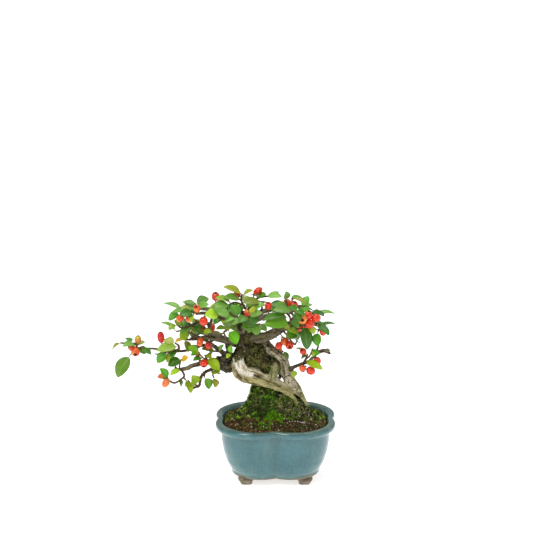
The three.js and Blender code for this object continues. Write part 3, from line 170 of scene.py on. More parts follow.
# %% [markdown]
# Every new piece is one mesh of closed shells. A shell is a dictionary of points, four-sided and
# three-sided faces, and any values that its material reads, such as a tint for each point. Shells are
# stacked into one piece, so that a bunch of leaves or thousands of grains stay a single object.
# %% Shells and pieces


def shell(points, quads=None, tris=None, **values):
    """One closed surface: points in millimetres, faces as rows of point numbers, and values per point."""
    return {
        "points": np.asarray(points, float).reshape(-1, 3),
        "quads": np.zeros((0, 4), int) if quads is None else np.asarray(quads).reshape(-1, 4),
        "tris": np.zeros((0, 3), int) if tris is None else np.asarray(tris).reshape(-1, 3),
        "values": values,
    }


def stacked(shells):
    """Several shells as one: each one's faces count on from the points before it. A value that a shell
    lacks is zero there."""
    starts = np.cumsum([0] + [len(one["points"]) for one in shells[:-1]])
    shapes = {key: value.shape[1:] for one in shells for key, value in one["values"].items()}
    return {
        "points": np.concatenate([one["points"] for one in shells]),
        "quads": np.concatenate([one["quads"] + start for one, start in zip(shells, starts)]),
        "tris": np.concatenate([one["tris"] + start for one, start in zip(shells, starts)]),
        "values": {
            key: np.concatenate([
                one["values"].get(key, np.zeros((len(one["points"]), *shape))) for one in shells
            ])
            for key, shape in shapes.items()
        },
    }


def mesh_of(name, one, flat=False):
    """A Blender mesh of a shell, in metres, with its values as point attributes. A value with two columns
    is a UV map, one with three is a colour and a plain one is a number."""
    points = in_frame(one["points"])
    corners = np.concatenate([one["quads"].ravel(), one["tris"].ravel()])
    sizes = np.repeat([4, 3], [len(one["quads"]), len(one["tris"])])
    mesh = bpy.data.meshes.new(name)
    mesh.vertices.add(len(points))
    mesh.vertices.foreach_set("co", points.ravel())
    mesh.loops.add(len(corners))
    mesh.loops.foreach_set("vertex_index", corners)
    mesh.polygons.add(len(sizes))
    mesh.polygons.foreach_set("loop_start", np.cumsum(sizes) - sizes)
    mesh.update(calc_edges=True)
    mesh.polygons.foreach_set("use_smooth", np.full(len(sizes), not flat))
    for key, value in one["values"].items():
        if value.ndim == 2 and value.shape[1] == 2:
            mesh.uv_layers.new(name=key).data.foreach_set("uv", value[corners].ravel())
        elif value.ndim == 2:
            colour = np.concatenate([value, np.ones((len(value), 1))], 1)
            mesh.attributes.new(key, "FLOAT_COLOR", "POINT").data.foreach_set("color", colour.ravel())
        else:
            mesh.attributes.new(key, "FLOAT", "POINT").data.foreach_set("value", value.astype(float))
    return mesh


def piece(name, groups, replaces=(), flat=False):
    """A finished piece: groups is a list of (material, shells), all joined in one mesh."""
    groups = [(material, stacked(shells)) for material, shells in groups]
    mesh = mesh_of(name, stacked([one for _, one in groups]), flat)
    for material, _ in groups:
        mesh.materials.append(material)
    faces = [len(one[kind]) for kind in ("quads", "tris") for _, one in groups]
    mesh.polygons.foreach_set("material_index", np.repeat([*range(len(groups))] * 2, faces))
    made = bpy.data.objects.new(name, mesh)
    bpy.context.scene.collection.objects.link(made)
    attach(made, "root")
    if replaces:
        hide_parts(*replaces)
    return made


def facets(made):
    """How many triangles a piece has: each face of n corners makes n - 2."""
    return len(made.data.loops) - 2 * len(made.data.polygons)


def grid_quads(rows, columns):
    """Faces between rows of points laid one after another, each row closed on itself."""
    row = np.arange(rows - 1)[:, None] * columns
    column = np.arange(columns)[None]
    after = (column + 1) % columns
    near = [row + column, row + after]
    far = [row + columns + after, row + columns + column]
    return np.stack(near + far, -1).reshape(-1, 4)


def ringed(rings, **values):
    """A closed shell from rings of points, rows by columns, that turn anticlockwise about the way they
    go: four-sided faces between them, and a fan to the middle of the first ring and of the last. Values
    are given for each point of the rings, or one colour for all."""
    rows, columns = rings.shape[:2]
    points = np.concatenate([rings.reshape(-1, 3), rings[:1].mean(1), rings[-1:].mean(1)])
    here = np.arange(columns)
    after = (here + 1) % columns
    middle = np.full(columns, rows * columns)
    last = (rows - 1) * columns
    first_fan = np.stack([middle, after, here], -1)
    last_fan = np.stack([middle + 1, last + here, last + after], -1)
    spread = {}
    for key, value in values.items():
        value = np.asarray(value, float)
        parts = () if value.ndim == 2 else value.shape[-1:]  # a colour's three, or a map's two
        full = np.broadcast_to(value, (rows, columns, *parts)).reshape(rows * columns, *parts)
        spread[key] = np.concatenate([full, full[:1], full[-1:]])
    return shell(points, grid_quads(rows, columns), np.concatenate([first_fan, last_fan]), **spread)


# %% [markdown]
# A stem is a tube: circles carried along a smooth curve. The curve goes through its points as a chain of
# cubics, by the same rule as the CAD part's, so that both lie in one place. Each circle stands square to
# the curve on two directions found from one fixed vector that no stem runs along.
# %% Curves and tubes
RING_START = np.array([0.31, 0.87, 0.38])


def four_near(points, steps):
    """For each of so many equal steps along the points: the two points before it and the two after, where
    the ends are reflected, and the share of the way between the middle two."""
    points = np.asarray(points, float)
    ends = np.concatenate([[2 * points[0] - points[1]], points, [2 * points[-1] - points[-2]]])
    place = np.linspace(0, len(points) - 1, steps + 1)
    at = np.minimum(place.astype(int), len(points) - 2)
    return [ends[at + k] for k in range(4)], place - at


def spline(points, steps):
    """Points on a chain of cubics, one through each pair of points, whose slope at each point is half the
    step between its neighbours."""
    (before, start, end, after), t = four_near(points, steps)
    t = t[:, None]
    leave = (end - before) / 2
    arrive = (after - start) / 2
    return (
        start + leave * t
        + (3 * (end - start) - 2 * leave - arrive) * t**2
        + (2 * (start - end) + leave + arrive) * t**3
    )


def crosswise(path):
    """Two directions square to a path and to each other, at each of its points."""
    along = unit(np.gradient(path, axis=0))
    side = unit(np.cross(along, RING_START))
    return side, np.cross(along, side)


def lengths_along(path):
    """How far along a path each of its points is: the sum of the steps before it."""
    return np.concatenate([[0], np.cumsum(np.linalg.norm(np.diff(path, axis=0), axis=1))])


def tube_shell(path, radii, sides=8, **values):
    """A closed tube: a circle of the given radius round each point of the path, side times cosine plus
    front times sine."""
    path = np.asarray(path, float)
    radii = np.broadcast_to(radii, len(path))
    side, front = crosswise(path)
    angle = around(sides)[None, :, None]
    ring = side[:, None] * np.cos(angle) + front[:, None] * np.sin(angle)
    return ringed(path[:, None] + ring * radii[:, None, None], **values)


# %% [markdown]
# A finish is a node tree. Patterns read Object coordinates, because every piece's object sits at the
# frame's origin, or a tint worked out for each point of the mesh. Colours are written as they look on
# a screen, 0 to 255, and turned into the linear light that shaders use.
# %% Colours and material nodes


def paint(red, green, blue):
    """A screen colour as linear light: the sRGB curve undone."""
    share = np.array([red, green, blue]) / 255
    return np.where(share <= 0.04045, share / 12.92, ((share + 0.055) / 1.055) ** 2.4)


class Finish:
    """A material and short calls for the nodes that these finishes share."""

    def __init__(self, name, **sockets):
        self.material = bpy.data.materials.new(name)
        self.material.use_nodes = True
        self.nodes = self.material.node_tree.nodes
        self.shader = self.nodes["Principled BSDF"]
        for socket, value in sockets.items():
            self.shader.inputs[socket.replace("_", " ")].default_value = value
        self.place = self.add("ShaderNodeTexCoord").outputs["Object"]

    def add(self, kind, **settings):
        node = self.nodes.new(kind)
        for key, value in settings.items():
            setattr(node, key, value)
        return node

    def put(self, target, value):
        """Links an output to an input, or sets the input's own number or colour."""
        if isinstance(value, bpy.types.NodeSocket):
            self.material.node_tree.links.new(value, target)
        elif np.ndim(value) and len(value) == 3 and len(target.default_value) == 4:
            target.default_value = (*value, 1)
        else:
            target.default_value = value

    def look(self, socket, value):
        """The same for one of the shader's own inputs."""
        self.put(self.shader.inputs[socket], value)

    def attribute(self, name, output="Color"):
        return self.add("ShaderNodeAttribute", attribute_name=name).outputs[output]

    def noise(self, scale, detail=3, stretch=None):
        """Soft noise in 0..1, with `scale` lumps to the metre, that may be drawn out by a stretch."""
        node = self.add("ShaderNodeTexNoise")
        vector = self.place
        if stretch:
            mapping = self.add("ShaderNodeMapping")
            mapping.inputs["Scale"].default_value = stretch
            self.put(mapping.inputs["Vector"], self.place)
            vector = mapping.outputs["Vector"]
        self.put(node.inputs["Vector"], vector)
        node.inputs["Scale"].default_value = scale
        node.inputs["Detail"].default_value = detail
        return node.outputs["Fac"]

    def speckle(self, scale):
        """How far each place is from the nearest of many scattered dots."""
        node = self.add("ShaderNodeTexVoronoi")
        self.put(node.inputs["Vector"], self.place)
        node.inputs["Scale"].default_value = scale
        return node.outputs["Distance"]

    def between(self, value, low, high, out_low=0.0, out_high=1.0):
        """A smooth step from out_low, where the value is low, to out_high."""
        node = self.add("ShaderNodeMapRange", interpolation_type="SMOOTHSTEP")
        for socket, number in zip(node.inputs, (value, low, high, out_low, out_high)):
            self.put(socket, number)
        return node.outputs["Result"]

    def math(self, operation, first, second=0.0):
        node = self.add("ShaderNodeMath", operation=operation)
        self.put(node.inputs[0], first)
        self.put(node.inputs[1], second)
        return node.outputs[0]

    def times(self, first, second):
        return self.math("MULTIPLY", first, second)

    def mix(self, share, first, second, blend="MIX"):
        node = self.add("ShaderNodeMix", data_type="RGBA", blend_type=blend)
        self.put(node.inputs["Factor"], share)
        self.put(node.inputs[6], first)
        self.put(node.inputs[7], second)
        return node.outputs[2]

    def flecked(self, fleck):
        """The mesh's own tint, times a fleck about 1."""
        return self.mix(1.0, self.attribute("tint"), fleck, "MULTIPLY")

    def bump(self, height, strength, distance):
        """Fine relief in the light alone: its distance is in metres."""
        node = self.add("ShaderNodeBump")
        node.inputs["Strength"].default_value = strength
        node.inputs["Distance"].default_value = distance
        self.put(node.inputs["Height"], height)
        self.look("Normal", node.outputs["Normal"])


# %% [markdown]
# The pot is slip-cast stoneware with a blue-green glaze. Seen from above, its wall is four round lobes that
# meet in creases at the front, the back and both ends, and the lip turns outwards and rolls over. The wall
# is one closed profile of [less across, less deep, lobe share, height], carried round: at each angle, the
# reach is where a ray from the middle leaves the furthest of four ovals. The profile's corners are
# rounded by averaging, as glaze rounds them. It passes under the floor and up through the drain hole.
# %% The pot's wall
LIP_WIDTH = 110
LIP_DEPTH = 86
POT_AROUND = 224
LOBE_STRETCH = (1.13, 0.98)  # a lobe is an oval: across and deep, in lobe shares
POT_ROWS = [
    [96, 72, 0.5, 6.8], [48, 42, 0.28, 6.8], [36, 32, 0.285, 6.2], [30.5, 26.5, 0.285, 7.6],
    [29, 25, 0.285, 9.6], [29.8, 25.8, 0.285, 11.3], [26.4, 22.6, 0.285, 13.8], [20.2, 17.6, 0.286, 20.4],
    [14.8, 13.4, 0.287, 30], [11.6, 11.2, 0.287, 40], [10.5, 10.5, 0.287, 48.5], [9.5, 9.5, 0.288, 50.4],
    [4, 4, 0.292, 51.2], [1, 1, 0.295, 52.6], [0, 0, 0.295, 55.3], [1.4, 1.4, 0.295, 57.1],
    [5, 5, 0.296, 57.8], [10, 10, 0.3, 57.5], [13.5, 13.5, 0.31, 56.2], [18, 18, 0.32, 50],
    [34, 32, 0.32, 20], [42, 38, 0.32, 12.6], [50, 46, 0.32, 12], [96, 72, 0.5, 12],
]
HIDDEN_ROWS = (0, 19, 20, 21, 22, 23)  # rows that start a stretch under the soil or the floor
WALL_STEP = 0.8  # between rows that show
HIDDEN_STEP = 3
HAND_MADE = 0.003  # how far the wall is out of true, as a share of its reach
ANGLES = around(POT_AROUND)


def lobed_reach(width, depth, lobe_share, angles):
    """How far the lobed outline is from the middle at each angle. With lengths divided by the half axes of
    the oval in a corner, the oval is a circle of radius one about `corner`: along = ray . corner, and the
    reach is (along + root(along^2 - ray^2 (corner^2 - 1))) / ray^2."""
    width, depth, lobe_share = (np.asarray(v, float)[..., None] for v in (width, depth, lobe_share))
    lobe_x = np.minimum(LOBE_STRETCH[0] * lobe_share * width, width / 2)
    lobe_y = np.minimum(LOBE_STRETCH[1] * lobe_share * width, depth / 2)
    corner_x = width / 2 / lobe_x - 1
    corner_y = depth / 2 / lobe_y - 1
    ray_x = np.abs(np.cos(angles)) / lobe_x
    ray_y = np.abs(np.sin(angles)) / lobe_y
    along = ray_x * corner_x + ray_y * corner_y
    square = ray_x**2 + ray_y**2
    room = along**2 - square * (corner_x**2 + corner_y**2 - 1)
    return (along + np.sqrt(np.maximum(room, 0))) / square


def averaged(rows, times, axis=0):
    """Rows on a closed loop, each mixed with its two neighbours, half and a quarter and a quarter."""
    for _ in range(times):
        rows = rows / 2 + (np.roll(rows, 1, axis) + np.roll(rows, -1, axis)) / 4
    return rows


def even_rows(rows, spacing, coarse_spacing, coarse):
    """More rows between the given ones, in steps of about `spacing` along the profile, or of
    `coarse_spacing` after the rows that `coarse` numbers."""
    rows = np.array(rows, float)
    made = []
    for i, (start, end) in enumerate(zip(rows, np.roll(rows, -1, 0))):
        length = np.hypot((end - start)[0] / 2, (end - start)[3])
        count = max(1, round(length / (coarse_spacing if i in coarse else spacing)))
        made.append(start + (end - start) * np.linspace(0, 1, count, endpoint=False)[:, None])
    return np.concatenate(made)


def row_reach(rows, angles):
    """The reach of each row of [less across, less deep, lobe share, height] at each angle."""
    return lobed_reach(LIP_WIDTH - rows[:, 0], LIP_DEPTH - rows[:, 1], rows[:, 2], angles)


def lobed_points(rows, angles, soften=5):
    """Points of a lobed body: each row's reach at each angle, with the creases a little filled."""
    reach = averaged(row_reach(rows, angles), soften, axis=1)
    height = np.broadcast_to(rows[:, 3:4], reach.shape)
    return np.stack([reach * np.cos(angles), reach * np.sin(angles), height], -1)


WALL_ROWS = averaged(even_rows(POT_ROWS, WALL_STEP, HIDDEN_STEP, HIDDEN_ROWS), 2)
WALL = lobed_points(WALL_ROWS, ANGLES).reshape(-1, 3)
WALL_Z = WALL[:, 2]
WALL[:, :2] *= 1 + (HAND_MADE * rough(WALL, 16, seed=3) * eased(WALL_Z, 13, 20))[:, None]
print("pot wall:", len(WALL_ROWS), "rows of", POT_AROUND)

# %% [markdown]
# Where a glaze runs over an edge it thins and the clay's brown shows through, and where it gathers in a
# crease it is thicker and darker. The lip's outer edge and rolled top are made lighter still, as a painted
# highlight over the thin glaze, and the wall just under the lip is made darker, as painted shade. All are
# worked out from the pot's own shape: how far a point is inside the smoothed outline of its row tells the
# crease, and the profile's heights tell the edges. The plinth's edge is thinly glazed. Below it the clay is
# bare, because glaze there would stick to the kiln's shelf, and the bare part reaches a little higher beside
# each foot.
# %% Glaze thickness
LIP_EDGE = 57.4
UNDER_LIP = 50.2
PLINTH_EDGE = 10.6
CREASE_DEPTH = 1.6
BARE_BELOW = (7.8, 9.4)
FOOT_ACROSS = 31
outline = row_reach(WALL_ROWS, ANGLES)
crease = ((averaged(outline, 40, axis=1) - outline) / CREASE_DEPTH).clip(0, 1).ravel()
# Painted highlight together with thin glaze: lighter along the lip's outer edge and over its rolled top.
rim_thin_and_lit = 0.5 * bell((WALL_Z - LIP_EDGE) / 0.5) + 0.5 * eased(WALL_Z, 54.5, 57)
rim_thin_and_lit = rim_thin_and_lit * (0.5 + 0.5 * rough(WALL, 12, seed=9))
plinth_thin = 0.8 * bell((WALL_Z - PLINTH_EDGE) / 1.6) + 0.6 * (1 - eased(WALL_Z, 6.6, 9.0))
plinth_thin = plinth_thin * (0.6 + 0.3 * rough(WALL, 9, seed=4))
wall_thin_and_lit = np.clip(rim_thin_and_lit + plinth_thin, 0, 1)
# Pooled glaze, darker in the creases, and painted shade, darker just under the lip.
wall_pool_and_shade = np.clip(0.6 * crease + 1.3 * bell((WALL_Z - UNDER_LIP) / 1.2), 0, 1)
near_foot = bell((np.abs(WALL[:, 0]) - FOOT_ACROSS) / 7)
wall_bare = 1 - eased(WALL_Z + 0.7 * rough(WALL, 5, seed=6) - 1.6 * near_foot, *BARE_BELOW)
wall_quads = grid_quads(len(WALL_ROWS) + 1, POT_AROUND) % len(WALL)
pot_wall = shell(WALL, wall_quads, thin=wall_thin_and_lit, pool=wall_pool_and_shade, bare=wall_bare)
print("glaze is thin on", round(float((wall_thin_and_lit > 0.5).mean()), 2), "of the wall")

# %% [markdown]
# The four feet are cut from the same clay: short blocks with rounded corners that flare into the pot, so
# that its underside arches between them, and only their upper edge took any glaze. Their section is a
# squared oval, where cosine and sine are both raised to a power under one.
# %% Feet
FOOT_PLACE = np.array([26.5, 19.5])
FOOT_ROWS = np.array([  # half across, half deep, middle set outwards by, height
    [0.2, 0.2, 0, 0], [4.7, 3.7, 0, 0], [5.1, 4.1, 0, 0.35], [5.4, 4.4, 0, 1.1], [5.7, 4.5, 0.3, 2.4],
    [6.4, 4.9, 0.5, 3.6], [7.4, 5.3, 0.2, 4.9], [8.6, 5.8, -1.2, 6.2], [9.8, 6.2, -2.6, 7.3],
    [10.4, 6.4, -3.4, 8.4], [0.2, 0.2, 0, 8.4],
])
FOOT_AROUND = 40
SQUARED = 0.6
FOOT_DENTS = 0.12
FOOT_BARE_BELOW = (6.2, 9)


def foot_shell(hand):
    """A foot: half widths along the profile times the signed 0.6th powers of cosine and sine."""
    angle = around(FOOT_AROUND)
    round_about = np.stack([np.cos(angle), np.sin(angle)], -1)
    share = np.sign(round_about) * np.abs(round_about) ** SQUARED
    middle = hand * (FOOT_PLACE + FOOT_ROWS[:, 2:3])
    flat = middle[:, None] + FOOT_ROWS[:, None, :2] * share
    level = np.broadcast_to(FOOT_ROWS[:, None, 3:], (*flat.shape[:2], 1))
    points = np.concatenate([flat, level], -1)
    near = rough(points, 3, seed=8)[..., None]
    points[..., :2] += FOOT_DENTS * near * (level > 0.3)
    bare = 1 - eased(level[..., 0] + 1.6 * near[..., 0], *FOOT_BARE_BELOW)
    return ringed(points, thin=0.6 + 0 * bare, pool=0 * bare, bare=bare)


feet = [foot_shell(np.array(hand)) for hand in itertools.product((-1, 1), repeat=2)]
print("feet:", len(feet))

# %% [markdown]
# The glaze is a glossy clear coat over a mottled blue-green. Two layers of noise, one of them drawn out
# downwards because glaze runs, shift it between a greyer and a bluer green. The thin and pooled places, with
# the painted highlight on the lip and the painted shade under it, come from the attributes, and the bare clay
# of the feet and the underside is rough and grey-brown.
# %% Glaze and the finished pot
glaze = Finish("glaze", Coat_Weight=0.6, Coat_Roughness=0.04)
mottle = glaze.noise(55, 4)
runs = glaze.noise(130, 3, stretch=(1, 1, 0.2))
glaze_colour = glaze.mix(glaze.between(mottle, 0.35, 0.65), paint(38, 98, 105), paint(50, 110, 116))
glaze_colour = glaze.mix(glaze.between(runs, 0.5, 0.75, 0, 0.4), glaze_colour, paint(86, 124, 114))
haze = glaze.between(glaze.noise(420, 4), 0.35, 0.75, 0, 0.24)
glaze_colour = glaze.mix(haze, glaze_colour, paint(102, 140, 140))
# Darker where the glaze pools in the creases and where shade is painted under the lip.
glaze_colour = glaze.mix(glaze.times(glaze.attribute("pool", "Fac"), 0.6), glaze_colour, paint(46, 88, 88))
# Lighter and greyer where the glaze is thin, and on the lip as a painted highlight.
edge_share = glaze.between(glaze.noise(90, 2), 0.4, 0.6)
edge_colour = glaze.mix(edge_share, paint(96, 118, 100), paint(128, 150, 132))
glaze_colour = glaze.mix(glaze.times(glaze.attribute("thin", "Fac"), 0.85), glaze_colour, edge_colour)
clay_share = glaze.between(glaze.noise(260, 5), 0.35, 0.7)
clay_colour = glaze.mix(clay_share, paint(104, 90, 70), paint(140, 126, 104))
bare_share = glaze.between(glaze.attribute("bare", "Fac"), 0.3, 0.7)
glaze.look("Base Color", glaze.mix(bare_share, glaze_colour, clay_colour))
glaze.look("Roughness", glaze.between(bare_share, 0, 1, 0.2, 0.75))
glaze.bump(glaze.noise(45, 2), 0.2, 0.0005)
pot = piece("pot_glazed", [(glaze.material, [pot_wall, *feet])], ["pot"])
print("pot:", facets(pot), "triangles")

# %% [markdown]
# Soil fills the pot to just under its lip: a granular mix of dark compost, brown baked clay and a little
# white grit. The bed is a lobed body that fits the wall, with a lumpy top that rises towards the roots.
# Loose grains lie on it, as thousands of small lumps. Each is an icosahedron of 20 faces, squashed and
# turned at random, so that so many stay light.
# %% The bed of soil
SOIL_ROWS = np.array([
    [56, 52, 0.5, 13.4], [42.8, 38.8, 0.319, 13.4], [34.8, 32.8, 0.319, 20], [23, 22.8, 0.319, 42],
    [18.8, 18.8, 0.319, 50], [16.2, 16.2, 0.312, 54.6],
])
SOIL_TOP_RINGS = 44
SOIL_AROUND = 180
SOIL_TOP = 55.3
SOIL_RISE = 5.2  # of the soil, towards the mound
SOIL_LUMPS = 0.9
SOIL_REACH = (47, 28, 35)  # half the bed's size across, in front and behind


def soil_height(points):
    """The top of the soil: a level, a rise of a few millimetres towards the mound and lumps of noise."""
    across, deep = points[..., 0], points[..., 1]
    far = np.hypot(across / SOIL_REACH[0], deep / np.where(deep < 0, *SOIL_REACH[1:]))
    uneven = SOIL_LUMPS * rough(points * [1, 1, 0], 7, seed=21) * eased(far, 1.02, 0.85)
    return SOIL_TOP + SOIL_RISE * eased(far, 1.0, 0.42) + uneven


side_rings = lobed_points(SOIL_ROWS, around(SOIL_AROUND), soften=0)
top_share = np.linspace(0.985, 0.02, SOIL_TOP_RINGS)[:, None, None]
top_rings = side_rings[-1][None] * [1, 1, 0] * top_share
top_rings[..., 2] = soil_height(top_rings)
bed_rings = np.concatenate([side_rings, top_rings])
bed_share = rough(bed_rings, 3, seed=31)[..., None] * 0.5 + 0.5
soil_bed = ringed(bed_rings, tint=blended(paint(40, 34, 20), paint(98, 78, 48), bed_share))
print("soil rises to", round(float(bed_rings[..., 2].max()), 1), "mm")

# %% Lumps
GOLDEN = (1 + math.sqrt(5)) / 2
ICO_POINTS = np.array([
    np.roll([0, a, b], turn) for turn in range(3) for a in (-1, 1) for b in (-GOLDEN, GOLDEN)
], float)
ICO_TRIS = np.array([
    trio if np.linalg.det(ICO_POINTS[list(trio)]) > 0 else trio[::-1]
    for trio in itertools.combinations(range(12), 3)
    if max(np.linalg.norm(ICO_POINTS[a] - ICO_POINTS[b]) for a, b in itertools.combinations(trio, 2)) < 2.01
])
ICO_POINTS = unit(ICO_POINTS)


def turns(count, random):
    """Random turns as 3 by 3 matrices: three directions squared up from two random ones."""
    first = unit(random.normal(size=(count, 3)))
    second = unit(np.cross(first, random.normal(size=(count, 3))))
    return np.stack([first, second, np.cross(first, second)], 1)


def lumps(places, sizes, tints, random, squash=(1, 0.8, 0.6), jitter=0.18):
    """Small lumps, one at each place: the icosahedron with its corners moved in or out, squashed, turned
    and made the given size."""
    count = len(places)
    corners = ICO_POINTS * (1 + jitter * random.uniform(-1, 1, (count, 12, 1))) * np.array(squash)
    corners = corners @ turns(count, random) * np.reshape(sizes, (-1, 1, 1)) / 2 + places[:, None]
    tris = ICO_TRIS[None] + 12 * np.arange(count)[:, None, None]
    return shell(corners, tris=tris, tint=np.repeat(tints, 12, axis=0))


def mixed_tints(colours, shares, count, random, vary=0.18):
    """A colour for each of many small things: one of a few, by share, made lighter or darker."""
    chosen = random.choice(len(colours), count, p=np.array(shares) / sum(shares))
    table = np.array([paint(*colour) for colour in colours])
    return np.clip(table[chosen] * random.uniform(1 - vary, 1 + vary, (count, 1)), 0, 1)


# %% [markdown]
# The grains are strewn evenly over the ring of soil that shows, by taking the root of an even random share
# as the distance out. Most are small, a few are twice as large, and the baked clay at the front left is
# redder than the rest.
# %% Loose grains
GRAIN_COUNT = 3600
GRAIN_TINTS = [
    (64, 54, 32), (92, 76, 46), (128, 102, 66), (30, 25, 15), (164, 136, 100), (84, 104, 32),
    (222, 208, 184),
]
GRAIN_SHARES = [26, 20, 13, 34, 8, 14, 2.4]
EDGE_ANGLES = np.linspace(0, 2 * math.pi, 721)
random = np.random.default_rng(7)
grain_angle = random.uniform(0, 2 * math.pi, GRAIN_COUNT)
grain_share = np.sqrt(random.uniform(0.2, 0.965, GRAIN_COUNT))
soil_edge = averaged(row_reach(SOIL_ROWS[-1:], EDGE_ANGLES), 1, axis=1)[0]
grain_reach = np.interp(grain_angle, EDGE_ANGLES, soil_edge) * grain_share
grain_way = np.stack([np.cos(grain_angle), np.sin(grain_angle), 0 * grain_angle], -1)
grains = grain_way * grain_reach[:, None]
grain_size = random.uniform(0.6, 1.35, GRAIN_COUNT) + 1.5 * random.uniform(0, 1, GRAIN_COUNT) ** 6
grains[:, 2] = soil_height(grains) + 0.12 * grain_size
grain_tints = mixed_tints(GRAIN_TINTS, GRAIN_SHARES, GRAIN_COUNT, random, 0.4)
redder = eased(grains[:, 0] + grains[:, 1] / 2, -5, -30)[:, None] * np.array([0.3, 0.1, 0.0])
grain_shell = lumps(grains, grain_size, grain_tints * (1 + redder), random)
print("grains:", GRAIN_COUNT)

# %% [markdown]
# A short row of white grit lies where water washed it out, at the front right, and a few more bright bits
# lie about. Their places were read in the picture and dropped on the soil's surface.
# %% White grit
GRIT_PLACES = [
    [11, 51], [13, 52.4], [15.4, 52.8], [18, 52.6], [20.4, 52.6], [22.6, 51.8], [24.4, 51.2], [26.4, 51],
    [5, 48.5], [3, 43.5], [46, 61], [32.5, 54.5], [-11, 47.5], [-22, 50], [37, 49], [8, 55],
]


def landed(places, *bodies):
    """Where the eye's ray through each [across, up] first meets the given shells, and the surface's
    direction there."""
    body = stacked([{**one, "values": {}} for one in bodies])
    faces = [*body["quads"].tolist(), *body["tris"].tolist()]
    tree = BVHTree.FromPolygons(body["points"].tolist(), faces)
    hits = [tree.ray_cast(Vector(EYE), Vector((across, 0, up)) - Vector(EYE)) for across, up in places]
    hits = [hit for hit in hits if hit[0]]
    return np.array([hit[0] for hit in hits]), np.array([hit[1] for hit in hits])


grit_points, _ = landed(GRIT_PLACES, soil_bed)
grit_points[:, 2] += 0.4
grit_sizes = random.uniform(1.4, 2.0, len(grit_points))
grit_tints = mixed_tints([(252, 246, 238), (222, 206, 188)], [4, 1], len(grit_points), random, 0.06)
grit_shell = lumps(grit_points, grit_sizes, grit_tints, random)
earth = Finish("earth", Roughness=0.9, Specular_IOR_Level=0.25)
earth.look("Base Color", earth.flecked(earth.between(earth.noise(1500, 3), 0.3, 0.7, 0.75, 1.2)))
earth.bump(earth.noise(1800, 3), 0.6, 0.0003)
soil = piece("soil_bed", [(earth.material, [soil_bed, grain_shell, grit_shell])], ["soil"])
print("soil:", facets(soil), "triangles, with", len(grit_points), "bits of grit")

